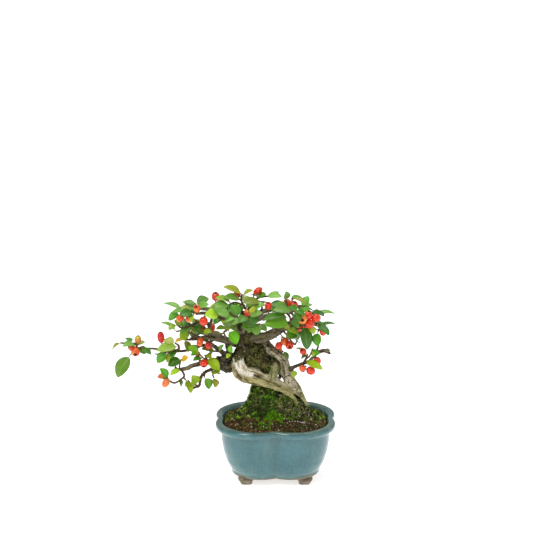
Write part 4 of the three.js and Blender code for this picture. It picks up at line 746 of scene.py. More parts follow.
# %% [markdown]
# The wood is one body that grew together: a short thick trunk, dark and mossy; two pale bare stems that
# run down into the soil, with ragged strands of old root between them; and dark branches that carry the
# crown. Each limb is a tube along a spline of [across, up, depth, radius]. Their union is found by a voxel
# remesh, which also melts the joints into each other as growing wood does.
# %% Limbs
LIMBS = {
  "trunk": [[-8, 84, 3, 9], [-9, 94, 5, 9.5], [-8.5, 104, 6, 12], [-11, 112, 6, 15.5], [-18.5, 121, 5, 15],
    [-26, 129, 4, 11], [-28, 137, 3, 8], [-29, 145, 3, 6.4], [-27, 153, 3, 4.6], [-23, 161, 4, 3],
    [-20, 168, 5, 1.7]],
  "leftStem": [[-30, 124, -3, 4.4], [-33.5, 118, -6, 5], [-33.8, 112, -7.5, 5], [-31, 105.8, -8, 5],
    [-26.5, 100.8, -8, 4.8], [-20.5, 98.5, -8.5, 4]],
  "upperStrand": [[-27, 104, -7, 4.2], [-19.6, 102, -8.4, 2.7], [-11.3, 98.2, -9, 2.4],
    [-3.6, 95.4, -9.5, 2.3], [3.4, 92, -9.5, 2], [9.5, 87.6, -9, 1.8], [21, 79, -6.5, 1.5],
    [26, 74, -4, 1.4], [28.5, 69, -2, 1.3]],
  "lowerStrand": [[-27, 98, -8, 4], [-22, 94, -10, 4.1], [-15.5, 91.8, -11.6, 3.8], [-7, 89.7, -12.5, 3.3],
    [-0.5, 87.2, -13, 2.9], [5, 85.2, -12.5, 2.5], [10, 81.4, -11.5, 2.2], [15, 77.6, -10, 1.9],
    [18, 73.6, -8, 1.6], [19.4, 69.5, -6, 1.3]],
  "rootLoop": [[-36, 109, -7, 3], [-36.6, 103.6, -7, 2.7], [-34.8, 98.8, -7, 2.7], [-31, 95.2, -7.5, 2.7],
    [-27, 93, -8.5, 2.6], [-21, 92, -10, 2.4]],
  "rightStem": [[-9, 127.5, 0, 4], [-3.6, 122.6, -5, 4.1], [2.7, 117.8, -6, 4], [7.2, 113.2, -6, 3.9],
    [9, 107, -6, 4.2], [9.6, 100, -5, 4.8], [12, 94.6, -5, 5], [16, 89.4, -4.5, 4.8],
    [20.5, 84.2, -3.5, 3.7], [24, 79, -2, 2], [27.4, 72.5, 0, 1.4], [29.4, 67, 1, 1.2]],
  "shoulder": [[-10, 119, 2, 7], [-3, 115.5, 0, 5.6], [1.5, 110.5, -1, 4.6], [0.5, 104.5, -2, 4.2]],
  "stub": [[-1, 109, -5, 2.5], [-1, 104, -7, 3.6], [-1.8, 99.5, -8.5, 3.8], [-3, 96, -9.5, 3.2]],
  "knob": [[-29, 113, 0, 6], [-37, 111, 1, 7.4], [-43.5, 110, 1, 8], [-49, 111, 0, 6.6],
    [-52.6, 113, -1, 4]],
  "knobRiser": [[-40.5, 114, 0, 3.6], [-42, 121, -1, 3.1], [-43, 127, -2, 2.8], [-41, 131.5, -2.5, 2.8]],
  "rightBranch": [[-22, 133, 1, 6], [-12, 134.5, -2, 4.8], [-4, 136.5, -5, 4], [3, 140, -8, 3],
    [15, 147.5, -12, 1.8], [20, 150, -14, 1.5]],
  "rightHigh": [[9, 144, -10, 1.8], [17, 154, -8, 1.5], [24, 160, -4, 1.2], [30, 161, -2, 1]],
  "rightLow": [[9, 104, -6, 2.2], [14, 105, -9, 1.9], [24, 109, -14, 1.5], [29.5, 111, -14, 1.4],
    [34, 115.5, -14, 1.3], [38, 119.5, -14, 1.5], [43, 121.8, -14, 1.8], [47, 120.5, -14, 1.5],
    [50, 118.7, -14, 1]],
  "leftLow": [[-46, 109, 0, 4], [-53, 111, -3, 2.9], [-64, 110, -9, 2.2], [-76, 107, -12, 2],
    [-80, 104.8, -13, 2], [-89, 103.6, -14, 1.5], [-91.5, 106.5, -14, 1.1]],
  "leftDrop": [[-46, 107, -1, 3], [-53, 106, -4, 1.9]],
  "greyBranch": [[-32, 128.5, 1, 4], [-38, 129, -1, 3.4], [-50, 132, -8, 2.4], [-62, 134.5, -11, 2],
    [-68, 134.2, -11, 1.6], [-73, 136, -11, 1.4], [-79, 139.5, -11, 1.1]],
  "leftRiser": [[-59, 133.5, -10, 1.8], [-60, 142, -8, 1.6], [-58, 150, -5, 1.4], [-55, 163, 2, 1]],
  "leftHigh": [[-45, 113, 0, 3], [-47, 119, 0, 2.6], [-55, 125.5, -3, 1.9], [-64, 132, -7, 1.5],
    [-72, 134.5, -8, 1.2], [-77, 133.3, -8, 1]],
  "farLeft": [[-58, 127.5, -4, 1.7], [-68, 126.5, -8, 1.5], [-76, 123, -9, 1.4], [-92, 121, -8, 1.2],
    [-110.5, 123.7, -3, 1.05], [-119, 123.5, 0, 1]],
  "crownLeftBack": [[-28, 143, 4, 4], [-38, 150, 10, 3], [-58, 160, 22, 1.7], [-68, 162, 24, 1.2]],
  "crownLeftFront": [[-30, 140, -1, 3.6], [-40, 148, -14, 2.8], [-62, 157, -30, 1.6], [-72, 157, -32, 1.2]],
  "crownRightFront": [[-26, 146, -1, 3.4], [-16, 152, -14, 2.6], [-4, 156, -24, 2], [16, 160, -30, 1.1]],
  "crownRightBack": [[-24, 152, 5, 3], [-12, 159, 16, 2.4], [14, 164, 28, 1.3], [24, 163, 30, 1]],
  "crownFront": [[-28, 141, -4, 3], [-27, 147, -18, 2.2], [-30, 150, -31, 1.6], [-34, 150, -42, 1.1]],
  "crownBack": [[-25, 148, 8, 3], [-28, 155, 22, 2.2], [-32, 158, 36, 1.6], [-36, 157, 48, 1.1]],
  "backLeft": [[-32, 129, 5, 3.6], [-38, 130, 6, 2.8], [-50, 135, 18, 2.2], [-62, 139, 28, 1.6],
    [-74, 140, 34, 1.2]],
  "backRight": [[-10, 135.5, -1, 3.4], [4, 144, 14, 2.2], [14, 148, 24, 1.6], [24, 149, 30, 1.2]],
}
SPURS = {
    "spurs_right": [
        [[14, 147, -11, 1.2], [18, 143, -12, 0.9], [25, 143, -12, 0.6]],
        [[29, 145, -14, 1.0], [33, 144, -15, 0.8], [40, 141, -15, 0.5]],
        [[7, 141, -8, 1.0], [17, 128, -9, 0.8], [19, 130.5, -9, 0.7], [23, 129, -9, 0.4]],
        [[38.5, 119.6, -14, 1.4], [37.5, 123, -14, 1.0], [38.5, 126, -14, 0.9], [39, 129, -14, 0.6]],
        [[44, 121.4, -14, 1.6], [47, 122.4, -14, 1.5], [49, 121.6, -14, 1.0]],
        [[12, 104.6, -8, 1.2], [10, 107.4, -9, 0.9], [11.6, 109.6, -9, 0.6]],
        [[24, 109, -14, 1.3], [26, 106.6, -14, 0.9], [28.4, 107, -14, 0.5]],
    ],
    "spurs_left": [
        [[-60, 144, -8, 1.2], [-64, 153, -9, 0.9], [-62, 158, -9, 0.5]],
        [[-59, 148, -7, 1.2], [-68, 148.6, -8, 1.4], [-76, 147, -9, 1.0], [-81, 148.4, -9, 0.6]],
        [[-70, 148.4, -8, 1.2], [-73, 151.6, -8, 1.0], [-76, 152.4, -8, 0.5]],
        [[-66, 148, -8, 1.1], [-70, 145, -8, 0.8], [-78, 144, -9, 0.7], [-83, 147.4, -10, 0.4]],
        [[-92, 121, -8, 1.0], [-98, 120.5, -9, 0.9], [-104, 118.4, -9, 0.7], [-110, 119, -9, 0.4]],
        [[-55, 133, -9, 1.6], [-60, 130, -10, 1.0], [-63, 129, -10, 0.6]],
        [[-48, 131.4, -7, 1.4], [-46, 136, -7, 1.0], [-47, 141, -7, 0.6]],
        [[-66, 109.6, -9, 1.6], [-69, 112.6, -10, 1.0], [-70, 115, -10, 0.6]],
        [[-56, 105.4, -5, 1.2], [-53, 100.4, -6, 0.9], [-49.4, 99.6, -6, 0.5]],
    ],
    "spurs_trunk": [
        [[2, 107, -4, 2.4], [4.2, 102, -4, 2.4], [4.4, 98, -5, 1.8], [3, 95, -6, 1.6]],
    ],
    "spurs_crown": [
        [[-35, 148, -1, 2.2], [-43, 158, -3, 1.6], [-45, 168, -2, 0.9]],
        [[-30, 146, 0, 2.0], [-38, 156, -6, 1.6], [-40, 162, -8, 0.9]],
        [[-26, 152, 0, 2.0], [-31, 160, -4, 1.5], [-32, 167, -4, 0.8]],
        [[-22, 152, 2, 2.0], [-14, 158, -4, 1.5], [-12, 164, -6, 0.8]],
        [[-20, 148, 0, 2.2], [-15, 154, -10, 1.4], [-10, 160, -14, 0.8]],
        [[-2, 140, -6, 2.0], [0, 148, -10, 1.3], [-3, 153, -14, 0.7]],
        [[-40, 147, -16, 1.6], [-45, 141, -18, 1.2], [-49, 137, -18, 0.6]],
    ],
}
PALE_LIMBS = ("leftStem", "upperStrand", "lowerStrand", "rootLoop", "rightStem", "stub")
ROUGHNESS = {  # how far the bark stands in and out, in millimetres
    "trunk": 1.6, "shoulder": 1.6, "spurs_trunk": 1.2, "knob": 2.0, "knobRiser": 1.1, "leftStem": 0.5,
    "upperStrand": 0.5, "lowerStrand": 0.9, "rootLoop": 1.1, "rightStem": 0.3, "stub": 0.5,
}
TWIG_ROUGHNESS = 0.42
BARK_VOXEL = 0.58
limbs = [(name, np.array(rows, float)) for name, rows in LIMBS.items()]
limbs += [(name, np.array(rows, float)) for name, several in SPURS.items() for rows in several]


def limb_path(rows, spacing=1.0):
    """A limb's middle line and its radius there, in steps of about a millimetre."""
    corners = seen(rows[:, :3])
    length = np.linalg.norm(np.diff(corners, axis=0), axis=1).sum()
    steps = max(4, int(length / spacing))
    radii = np.interp(np.linspace(0, len(rows) - 1, steps + 1), range(len(rows)), rows[:, 3])
    return spline(corners, steps), radii


limb_paths = [limb_path(rows) for _, rows in limbs]
limb_tubes = [tube_shell(path, radii, 14) for path, radii in limb_paths]
print("limbs:", len(limbs), "with", sum(len(path) for path, _ in limb_paths), "steps")

# %% [markdown]
# Blender's Remesh modifier fills the joined tubes with small cubes and wraps them in one skin. Cubes leave
# steps, so the skin is relaxed: each point moves towards the middle of its neighbours and then a little
# further back out, which smooths without thinning the twigs.
# %% One skin for all the wood


def remeshed(shells, voxel):
    """The outer skin of overlapping shells, as points in millimetres and four-sided faces."""
    rough_mesh = mesh_of("rough_wood", stacked(shells))
    rough_object = bpy.data.objects.new("rough_wood", rough_mesh)
    bpy.context.scene.collection.objects.link(rough_object)
    remesh = rough_object.modifiers.new("remesh", "REMESH")
    remesh.mode = "VOXEL"
    remesh.voxel_size = voxel * MM
    skin = rough_object.evaluated_get(bpy.context.evaluated_depsgraph_get()).to_mesh()
    points = np.zeros(len(skin.vertices) * 3)
    skin.vertices.foreach_get("co", points)
    corners = np.zeros(len(skin.loops), int)
    skin.loops.foreach_get("vertex_index", corners)
    bpy.data.objects.remove(rough_object)
    bpy.data.meshes.remove(rough_mesh)
    return (points.reshape(-1, 3) - POT_MIDDLE) / MM, corners.reshape(-1, 4)


def neighbour_mean(values, quads, times=1):
    """For each point, the mean of a value over the points it shares an edge with, taken so many times."""
    start = quads.ravel()
    end = np.roll(quads, -1, 1).ravel()
    count = np.bincount(start, minlength=len(values)) + np.bincount(end, minlength=len(values))
    for _ in range(times):
        columns = [
            np.bincount(start, column[end], len(values)) + np.bincount(end, column[start], len(values))
            for column in values.reshape(len(values), -1).T
        ]
        values = (np.stack(columns, -1) / count[:, None]).reshape(values.shape)
    return values


def relaxed(points, quads, times, inward=0.5, outward=-0.52):
    """Smoothing that keeps its size: a step towards the neighbours' mean, then a slightly longer one away."""
    for step in [inward, outward] * times:
        points = points + step * (neighbour_mean(points, quads) - points)
    return points


def outward_of(points, quads):
    """Each point's outward direction: the sum of its faces' crossed diagonals, made unit length."""
    crossed = np.cross(points[quads[:, 2]] - points[quads[:, 0]], points[quads[:, 3]] - points[quads[:, 1]])
    total = [np.bincount(quads.ravel(), np.repeat(column, 4), len(points)) for column in crossed.T]
    return unit(np.stack(total, -1))


wood_points, wood_quads = remeshed(limb_tubes, BARK_VOXEL)
wood_points = relaxed(wood_points, wood_quads, 4)
print("wood skin:", len(wood_points), "points")

# %% [markdown]
# Bark follows the limb it is on. Each point of the skin is given to the limb whose surface is nearest, and
# gets coordinates on it: two across, from the limb's middle line, and one along. Noise in those
# coordinates, with the one along divided by five, makes ridges that run lengthwise.
# %% Bark ridges
GRAIN_STRETCH = 5  # how much longer than wide the bark's ridges are
LIMBS_APART = 37  # sets each limb's bark in another part of the noise
RIDGE_LIMIT = 0.45  # of the limb's radius
CHUNK = 6000
sample_points, sample_radius = (np.concatenate(part) for part in zip(*limb_paths))
sample_limb = np.repeat(np.arange(len(limbs)), [len(path) for path, _ in limb_paths])
directions = [crosswise(path) for path, _ in limb_paths]
sample_side, sample_front = (np.concatenate(part) for part in zip(*directions))
sample_along = np.concatenate([lengths_along(path) for path, _ in limb_paths])


def nearest_sample(points):
    """The step of any limb whose circle is nearest: the least distance less the limb's radius."""
    chosen = []
    for start in range(0, len(points), CHUNK):
        some = points[start:start + CHUNK]
        square = (some**2).sum(1)[:, None] - 2 * some @ sample_points.T + (sample_points**2).sum(1)
        chosen.append((np.sqrt(np.maximum(square, 0)) - sample_radius).argmin(1))
    return np.concatenate(chosen)


wood_nearest = nearest_sample(wood_points)
wood_number = sample_limb[wood_nearest]
limb_names = np.array([name for name, _ in limbs])
wood_limb = limb_names[wood_number]
wood_offset = wood_points - sample_points[wood_nearest]
wood_side, wood_front = sample_side[wood_nearest], sample_front[wood_nearest]
wood_ahead = (wood_offset * np.cross(wood_side, wood_front)).sum(1)
on_limb = np.column_stack([
    (wood_offset * wood_side).sum(1) + LIMBS_APART * wood_number,
    (wood_offset * wood_front).sum(1),
    (sample_along[wood_nearest] + wood_ahead) / GRAIN_STRETCH,
])
limb_depths = np.array([ROUGHNESS.get(name, TWIG_ROUGHNESS) for name in limb_names])
wood_depth = np.minimum(limb_depths[wood_number], RIDGE_LIMIT * sample_radius[wood_nearest])
wood_depth = neighbour_mean(wood_depth, wood_quads, 4)
ridges = 0.65 * rough(on_limb, 2.2, seed=41) + 0.35 * rough(wood_points, 3.2, seed=47)
ridges += 0.35 * noise(on_limb, 0.9, seed=53)
wood_out = outward_of(wood_points, wood_quads)
wood_points = wood_points + wood_out * (wood_depth * ridges)[:, None]
wood_out = outward_of(wood_points, wood_quads)
print("bark stands", wood_depth.min().round(2), "to", wood_depth.max().round(2), "mm in and out")

# %% [markdown]
# The bark's colours change from limb to limb. The left stem and the strands are pale, dry and yellowish
# where the rain reaches them, and stained green just above the moss. The right stem is greyer, with dark
# breathing pores. The trunk is nearly black between its moss, and so is the left stem's top, where the old
# bark still holds. The branches are grey-brown. Hollows are darker than ridges, partly by the bark's own
# colour and partly as painted shade, and places where the skin is hollow are darkened again as painted
# shade. The trunk, shoulder and knob are darker in soft patches, black cracks follow the strongest grain,
# and lichen makes the old limbs yellowish in patches.
# %% Bark colours
# Each limb's ridge and hollow colours: the hollow is darker by the bark's own colour and by painted shade.
BARK_TINTS = {  # ridge and hollow
    "leftStem": [(244, 238, 220), (172, 156, 122)], "upperStrand": [(204, 196, 164), (118, 102, 64)],
    "lowerStrand": [(186, 176, 124), (92, 82, 42)], "rootLoop": [(180, 166, 122), (72, 58, 34)],
    "rightStem": [(196, 186, 158), (112, 98, 70)], "stub": [(182, 178, 132), (104, 102, 58)],
    "trunk": [(76, 68, 42), (14, 11, 7)], "spurs_trunk": [(76, 68, 42), (14, 11, 7)],
    "knob": [(104, 98, 80), (20, 17, 12)], "knobRiser": [(110, 104, 84), (40, 34, 24)],
    "shoulder": [(84, 76, 44), (18, 14, 8)],
}
BRANCH_TINT = [(124, 114, 92), (40, 33, 23)]
OLD_BARK_FROM = (116, 119)  # up the left stem
STAINED_BELOW = (96, 76)
limb_tints = np.array([[paint(*c) for c in BARK_TINTS.get(name, BRANCH_TINT)] for name in limb_names])
wood_tints = neighbour_mean(limb_tints[wood_number].reshape(len(wood_points), 6), wood_quads, 5)
# Ridges paler and hollows darker: partly the bark's colour, partly painted shade in the hollows.
ridge_tone_and_shade = eased(ridges + 0.25 * noise(wood_points, 0.8, seed=61), -0.55, 0.35)[:, None]
wood_tint = blended(wood_tints[:, 3:], wood_tints[:, :3], ridge_tone_and_shade)
height = wood_points[:, 2]
barked = eased(height + 6 * rough(wood_points, 3, seed=65), *OLD_BARK_FROM) * (wood_limb == "leftStem")
old_bark = paint(*BARK_TINTS["trunk"][0]) * (0.35 + 0.8 * ridge_tone_and_shade)
wood_tint = blended(wood_tint, old_bark, barked[:, None])
is_pale = np.isin(wood_limb, PALE_LIMBS) & (barked < 0.5)
stain = np.where(is_pale, eased(height + 5 * noise(wood_points, 5, seed=67), *STAINED_BELOW), 0)
stain = np.where(wood_limb == "rightStem", 0.6 * stain, stain)[:, None]
wood_tint = blended(wood_tint, paint(150, 150, 88) * (0.45 + 0.7 * ridge_tone_and_shade), 0.75 * stain)
cracks = eased(noise(on_limb, 1.1, seed=71) + 0.5 * noise(on_limb, 0.5, seed=73), 0.52, 0.85)
wood_tint *= (1 - np.where(is_pale, 0.62, 0.4) * cracks)[:, None]
pores = eased(noise(wood_points * [1, 1, 1.6], 1.3, seed=79), 0.3, 0.5) * (wood_limb == "rightStem")
wood_tint *= (1 - 0.8 * pores)[:, None]
# Painted shade: the skin's colour is made darker where it is hollow.
hollow = ((neighbour_mean(wood_points, wood_quads) - wood_points) * wood_out).sum(1)
hollow = neighbour_mean(hollow, wood_quads)
wood_tint *= (1 - 0.55 * eased(hollow, 0.03, 0.14))[:, None]
# The trunk, shoulder and knob are darker in soft patches of noise.
is_dark_patched = np.isin(wood_limb, ("trunk", "shoulder", "knob"))
wood_tint *= (1 - 0.75 * eased(noise(wood_points, 2.1, seed=77), 0.2, 0.6) * is_dark_patched)[:, None]
is_mottled = np.isin(wood_limb, ("trunk", "shoulder", "stub", "rightBranch", "greyBranch", "leftLow"))
lichen = eased(rough(wood_points, 2.4, seed=83), 0.0, 0.45) * is_mottled
wood_tint = blended(wood_tint, paint(122, 120, 58), 0.45 * lichen[:, None])
print("lichen on", round(float((lichen > 0.5).mean()), 2), "of the wood")

# %% Bark and the finished wood
bark = Finish("bark", Roughness=0.92, Specular_IOR_Level=0.2)
bark.look("Base Color", bark.flecked(bark.between(bark.noise(900, 4), 0.25, 0.75, 0.72, 1.22)))
bark.bump(bark.math("ADD", bark.noise(1300, 3), bark.times(bark.noise(3200, 2), 0.4)), 0.8, 0.00035)
wood_shell = shell(wood_points, wood_quads, tint=np.clip(wood_tint, 0.004, 1))
wood = piece("wood_fine", [(bark.material, [wood_shell])], ["wood"])
print("wood:", facets(wood), "triangles")

# %% [markdown]
# The roots stand in a steep mound of moss. Its core is a lumpy body of rings, each with its own reach to
# the left, right, front and back, and the moss itself is thousands of tufts of tiny pointed leaves on it.
# A tuft leaf is a spike of four faces: three corners round its foot and one at its tip.
# %% The mound's core
MOUND_ROWS = [
    [-44, 45, -17.5, 29, 54], [-41, 42, -15.5, 27, 56.6], [-35, 37, -13, 23, 60.4],
    [-30.5, 31.5, -11.7, 18.6, 66], [-27, 27.5, -11, 16, 72], [-25, 22, -10.5, 14.5, 78],
    [-23.5, 15, -10, 13.5, 84], [-22.5, 6, -9, 12, 89], [-20, 0, -6, 9, 92], [-16, -4, -3, 6, 93.4],
]
MOUND_STEPS = 54
MOUND_AROUND = 120
MOUND_LUMPS = 1.3
MOSS_ROOM = 1.1  # the core is this much thinner than the mound, to leave room for the tufts
mound_rows = spline(MOUND_ROWS, MOUND_STEPS)
mound_angles = around(MOUND_AROUND)
left, right, front, back, level = (mound_rows[:, i:i + 1] for i in range(5))
mound_rings = np.stack([
    (left + right) / 2 + (right - left) / 2 * np.cos(mound_angles),
    (front + back) / 2 + (back - front) / 2 * np.sin(mound_angles),
    np.broadcast_to(level, (len(mound_rows), MOUND_AROUND)),
], -1)
mound_middle = np.stack([(left + right) / 2, (front + back) / 2, level], -1)
mound_reach = (MOUND_LUMPS * rough(mound_rings, 6, seed=91) - MOSS_ROOM)[..., None]
mound_rings = mound_rings + unit(mound_rings - mound_middle) * mound_reach
mound_damp = eased(rough(mound_rings, 2.5, seed=93), -0.4, 0.5)[..., None]
mound_core = ringed(mound_rings, tint=blended(paint(36, 34, 14), paint(74, 86, 30), mound_damp))
print("mound:", mound_rings.min((0, 1)).round(1), "to", mound_rings.max((0, 1)).round(1))

# %% Scattering and spikes


def scattered(body, count, random, chance=None):
    """Random places on a shell's faces, and the way each face looks: a face is drawn by its area, times
    the chance that a function gives for its middle, and the place in it by folding a square in half."""
    tris = np.concatenate([body["quads"][:, [0, 1, 2]], body["quads"][:, [0, 2, 3]], body["tris"]])
    a, b, c = (body["points"][tris[:, i]] for i in range(3))
    crossed = np.cross(b - a, c - a)
    weight = np.linalg.norm(crossed, axis=1)
    if chance:
        weight = weight * chance((a + b + c) / 3, unit(crossed))
    chosen = random.choice(len(tris), count, p=weight / weight.sum())
    share = random.uniform(0, 1, (count, 2))
    share = np.where(share.sum(1, keepdims=True) > 1, 1 - share, share)
    places = a[chosen] + (b - a)[chosen] * share[:, :1] + (c - a)[chosen] * share[:, 1:]
    return places, unit(crossed[chosen])


def spikes(feet, ways, lengths, widths, tints):
    """Pointed leaves: three corners on a small circle round the foot and one at foot plus way times
    length, each a closed body of four faces. The foot is darker than the tip: painted shade at the foot
    and painted light at the tip."""
    count = len(feet)
    side = unit(np.cross(ways, RING_START + 0 * ways))
    front = np.cross(ways, side)
    angle = np.arange(3)[:, None] * 2 * math.pi / 3
    circle = side[:, None] * np.cos(angle) + front[:, None] * np.sin(angle)
    base = feet[:, None] + circle * (np.reshape(widths, (-1, 1, 1)) / 2)
    tips = feet + ways * np.reshape(lengths, (-1, 1))
    corners = np.concatenate([base, tips[:, None]], 1)
    faces = np.array([[0, 1, 3], [1, 2, 3], [2, 0, 3], [0, 2, 1]]) + 4 * np.arange(count)[:, None, None]
    # Painted shade at each spike's foot and painted light at its tip.
    foot_shade_tip_light = np.array([0.55, 0.55, 0.55, 1.15])[None, :, None]
    return shell(corners, tris=faces, tint=(tints[:, None] * foot_shade_tip_light).reshape(-1, 3))


def tufts(body, count, leaves, random, colours, shares, length, chance, patches=None):
    """Moss: at each scattered place a few spikes that lean apart, in one colour with small changes."""
    places, ways = scattered(body, count, random, chance)
    tints = mixed_tints(colours, shares, count, random, 0.25)
    if patches:
        tints = patches(places, tints)
    feet = np.repeat(places, leaves, 0) + random.normal(0, TUFT_WIDTH, (count * leaves, 3))
    lean = np.repeat(ways, leaves, 0) + TUFT_RISE + random.normal(0, TUFT_SPREAD, (count * leaves, 3))
    lengths = random.uniform(*length, count * leaves)
    return spikes(feet, unit(lean), lengths, 0.16 + 0.22 * lengths, np.repeat(tints, leaves, 0))


random = np.random.default_rng(11)
MOSS_TINTS = [(72, 92, 26), (108, 136, 40), (138, 176, 46), (34, 38, 14), (208, 208, 128)]
MOSS_SHARES = [24, 28, 20, 20, 10]
MOUND_TUFTS = 6400
TUFT_WIDTH = 0.22
TUFT_RISE = [0, 0, 0.25]
TUFT_SPREAD = 0.8


def bright_patches(places, tints):
    """Fresh moss is brighter: in soft patches, above all in the upper middle and at the front left."""
    upper = bell((places[:, 0] + 8) / 9, (places[:, 2] - 80) / 6)
    lower = bell((places[:, 0] + 17) / 9, (places[:, 2] - 62) / 6)
    fresh = np.clip(eased(rough(places, 9, seed=97), 0.2, 0.8) * 0.8 + 0.9 * upper + 0.4 * lower, 0, 1)
    return clumped(places, blended(tints, paint(96, 168, 16), 0.75 * fresh[:, None]))


def clumped(places, tints):
    """Moss grows in clumps a few millimetres across: each tint times a soft noise between 0.25 and 2.05."""
    return tints * (0.25 + 1.8 * eased(rough(places, 2.6, seed=99), -0.45, 0.5))[:, None]


def on_mound(middle, way):
    """Moss grows all over the mound, but thinly in patches."""
    return eased(rough(middle, 3.4, seed=95), -0.75, 0.15) + 0.12


mound_moss = tufts(
    mound_core, MOUND_TUFTS, 5, random, MOSS_TINTS, MOSS_SHARES, (0.8, 2.3), on_mound, bright_patches
)
print("mound moss:", MOUND_TUFTS, "tufts")

# %% [markdown]
# Three things stand out of the moss: a bright feathery tuft that hangs over the soil at the front, pale thin
# roots that creep down the mound, and needles, which are short pale bits of dry root and grass. A shoot of
# the tuft is a row of spikes, left and right in turn. The tuft and the roots follow places read in the
# picture, dropped on the mound, and the needles lie where chance puts them, mostly at the right.
# %% Feathery tuft, rootlets and needles
SHOOT_LEAVES = 16
SHOOTS = 120
TUFT_LINES = [  # [across, up], from where the shoots spread to where they end
    [[-2, 67], [-4, 62], [-7, 56], [-11, 50], [-13.5, 46]], [[1, 64], [-1, 58], [-4, 52], [-7, 47.5]],
    [[2, 60], [3, 56], [5, 53]], [[-4, 60], [-9, 55], [-14, 51]],
]
ROOTLETS = [
    [[6, 81], [5, 77], [3.4, 73]], [[17, 72], [20, 68], [22.4, 62], [21, 58]],
    [[28, 70], [30.5, 66], [31, 62]], [[-12, 84], [-10, 80], [-12, 77]], [[24, 67], [26, 62], [28, 57]],
    [[2, 70], [5, 66], [4, 62]],
]
NEEDLES = 420
NEEDLE_WIDTH = 0.62
NEEDLE_DROOP = [0, 0, -0.35]


def shoot(start, way, length, tint, random):
    """A mossy shoot: points along a drooping line, and at each a spike to the left or right of it."""
    share = np.linspace(0.1, 1, SHOOT_LEAVES)[:, None]
    line = start + way * length * share + np.array([0, 0, -0.25 * length]) * share**2
    aside = unit(np.cross(way, [0, 0, 1]) + random.normal(0, 0.35, (SHOOT_LEAVES, 3)))
    hand = np.where(np.arange(SHOOT_LEAVES) % 2, 1, -1)[:, None]
    leaf_way = unit(0.7 * way + hand * aside + random.normal(0, 0.2, (SHOOT_LEAVES, 3)))
    size = length * (0.42 - 0.25 * share[:, 0])
    tints = np.broadcast_to(tint, (SHOOT_LEAVES, 3)) * random.uniform(0.75, 1.25, (SHOOT_LEAVES, 1))
    return spikes(line, leaf_way, size, 0.45 + 0 * size, tints)


ground = [mound_core, soil_bed]
shoots = []
for line in TUFT_LINES:
    hits, _ = landed(line, *ground)
    path = spline(hits, SHOOTS // len(TUFT_LINES))
    fall = unit(np.gradient(path, axis=0))
    for point, down in zip(path, fall):
        way = unit(down * 0.8 + np.array([0, -1.1, 0.5]) + random.normal(0, 0.5, 3))
        tint = paint(124, 196, 22) * random.uniform(0.8, 1.5)
        shoots.append(shoot(point + random.normal(0, 0.7, 3), way, random.uniform(3.2, 5.6), tint, random))
rootlets = []
for line in ROOTLETS:
    hits, ways = landed(line, *ground)
    path = spline(hits + ways * 0.9, 14)
    path += 0.35 * np.stack([noise(path, 2, seed=i) for i in (3, 5, 7)], -1)
    rootlets.append(tube_shell(path, np.linspace(0.28, 0.13, len(path)), 6, tint=paint(166, 152, 112)))


def needle_chance(middle, way):
    """Needles lie on the front of the mound, below its top, and are densest at the right."""
    at_right = 0.25 + eased(middle[:, 0], -6, 16)
    return at_right * eased(middle[:, 1], 4, -4) * eased(middle[:, 2], 86, 78)


needle_feet, needle_outs = scattered(mound_core, NEEDLES, random, needle_chance)
needle_ways = np.cross(needle_outs, unit(random.normal(0, 1, (NEEDLES, 3))))
needle_ways = unit(needle_ways + 0.22 * needle_outs + NEEDLE_DROOP)
needle_lengths = random.uniform(1.6, 4.4, NEEDLES)
needle_tints = mixed_tints(
    [(214, 204, 160), (176, 164, 104), (232, 226, 196)], [4, 4, 2], NEEDLES, random
)
needles = spikes(
    needle_feet + 0.7 * needle_outs, needle_ways, needle_lengths, np.full(NEEDLES, NEEDLE_WIDTH), needle_tints
)
moss = Finish("moss", Roughness=0.85, Specular_IOR_Level=0.25)
moss.look("Base Color", moss.flecked(moss.between(moss.noise(1400, 2), 0.3, 0.7, 0.8, 1.2)))
moss.bump(moss.noise(2600, 2), 0.5, 0.0002)
mound = piece(
    "moss_mound_fine",
    [(moss.material, [mound_core, mound_moss, *shoots, needles]), (bark.material, rootlets)],
    ["moss_mound"],
)
print("mound:", facets(mound), "triangles")

# %% [markdown]
# Moss also sits on the old trunk and the top of the cut stub, and in small patches on the soil. The
# scattering takes a chance for each face: here, where a soft noise is high on the dark trunk's bark, and
# at a few places on the soil. The same scattering sets buds and broken twig ends on the branches, as short
# spikes with the bark's finish.
# %% Moss on the trunk and the soil
MOSSY_LIMBS = ("trunk", "shoulder", "knob", "spurs_trunk")
TRUNK_TUFTS = 2800
PALE_TUFTS = 130
SOIL_TUFTS = 2300
BUDS = 520
trunk_faces = wood_quads[(np.isin(wood_limb, MOSSY_LIMBS) | (barked > 0.5))[wood_quads[:, 0]]]
trunk_body = shell(wood_points, trunk_faces)


def on_trunk(middle, way):
    """Moss grows in patches low on the trunk, and stays off the branches and the knob's end."""
    patch = eased(rough(middle, 3.6, seed=101), -0.2, 0.3)
    return patch * eased(middle[:, 2], 138, 124) * eased(middle[:, 0], -48, -34) + 0.02


def on_stub_or_strands(middle, way):
    """Thin moss on the stub's top and on the strands' upper sides near the mound."""
    stub = bell(middle[:, 0] / 6, (middle[:, 2] - 106) / 4)
    low = eased(middle[:, 2], 84, 70) * eased(way[:, 2], 0, 0.8)
    return stub + 0.35 * low


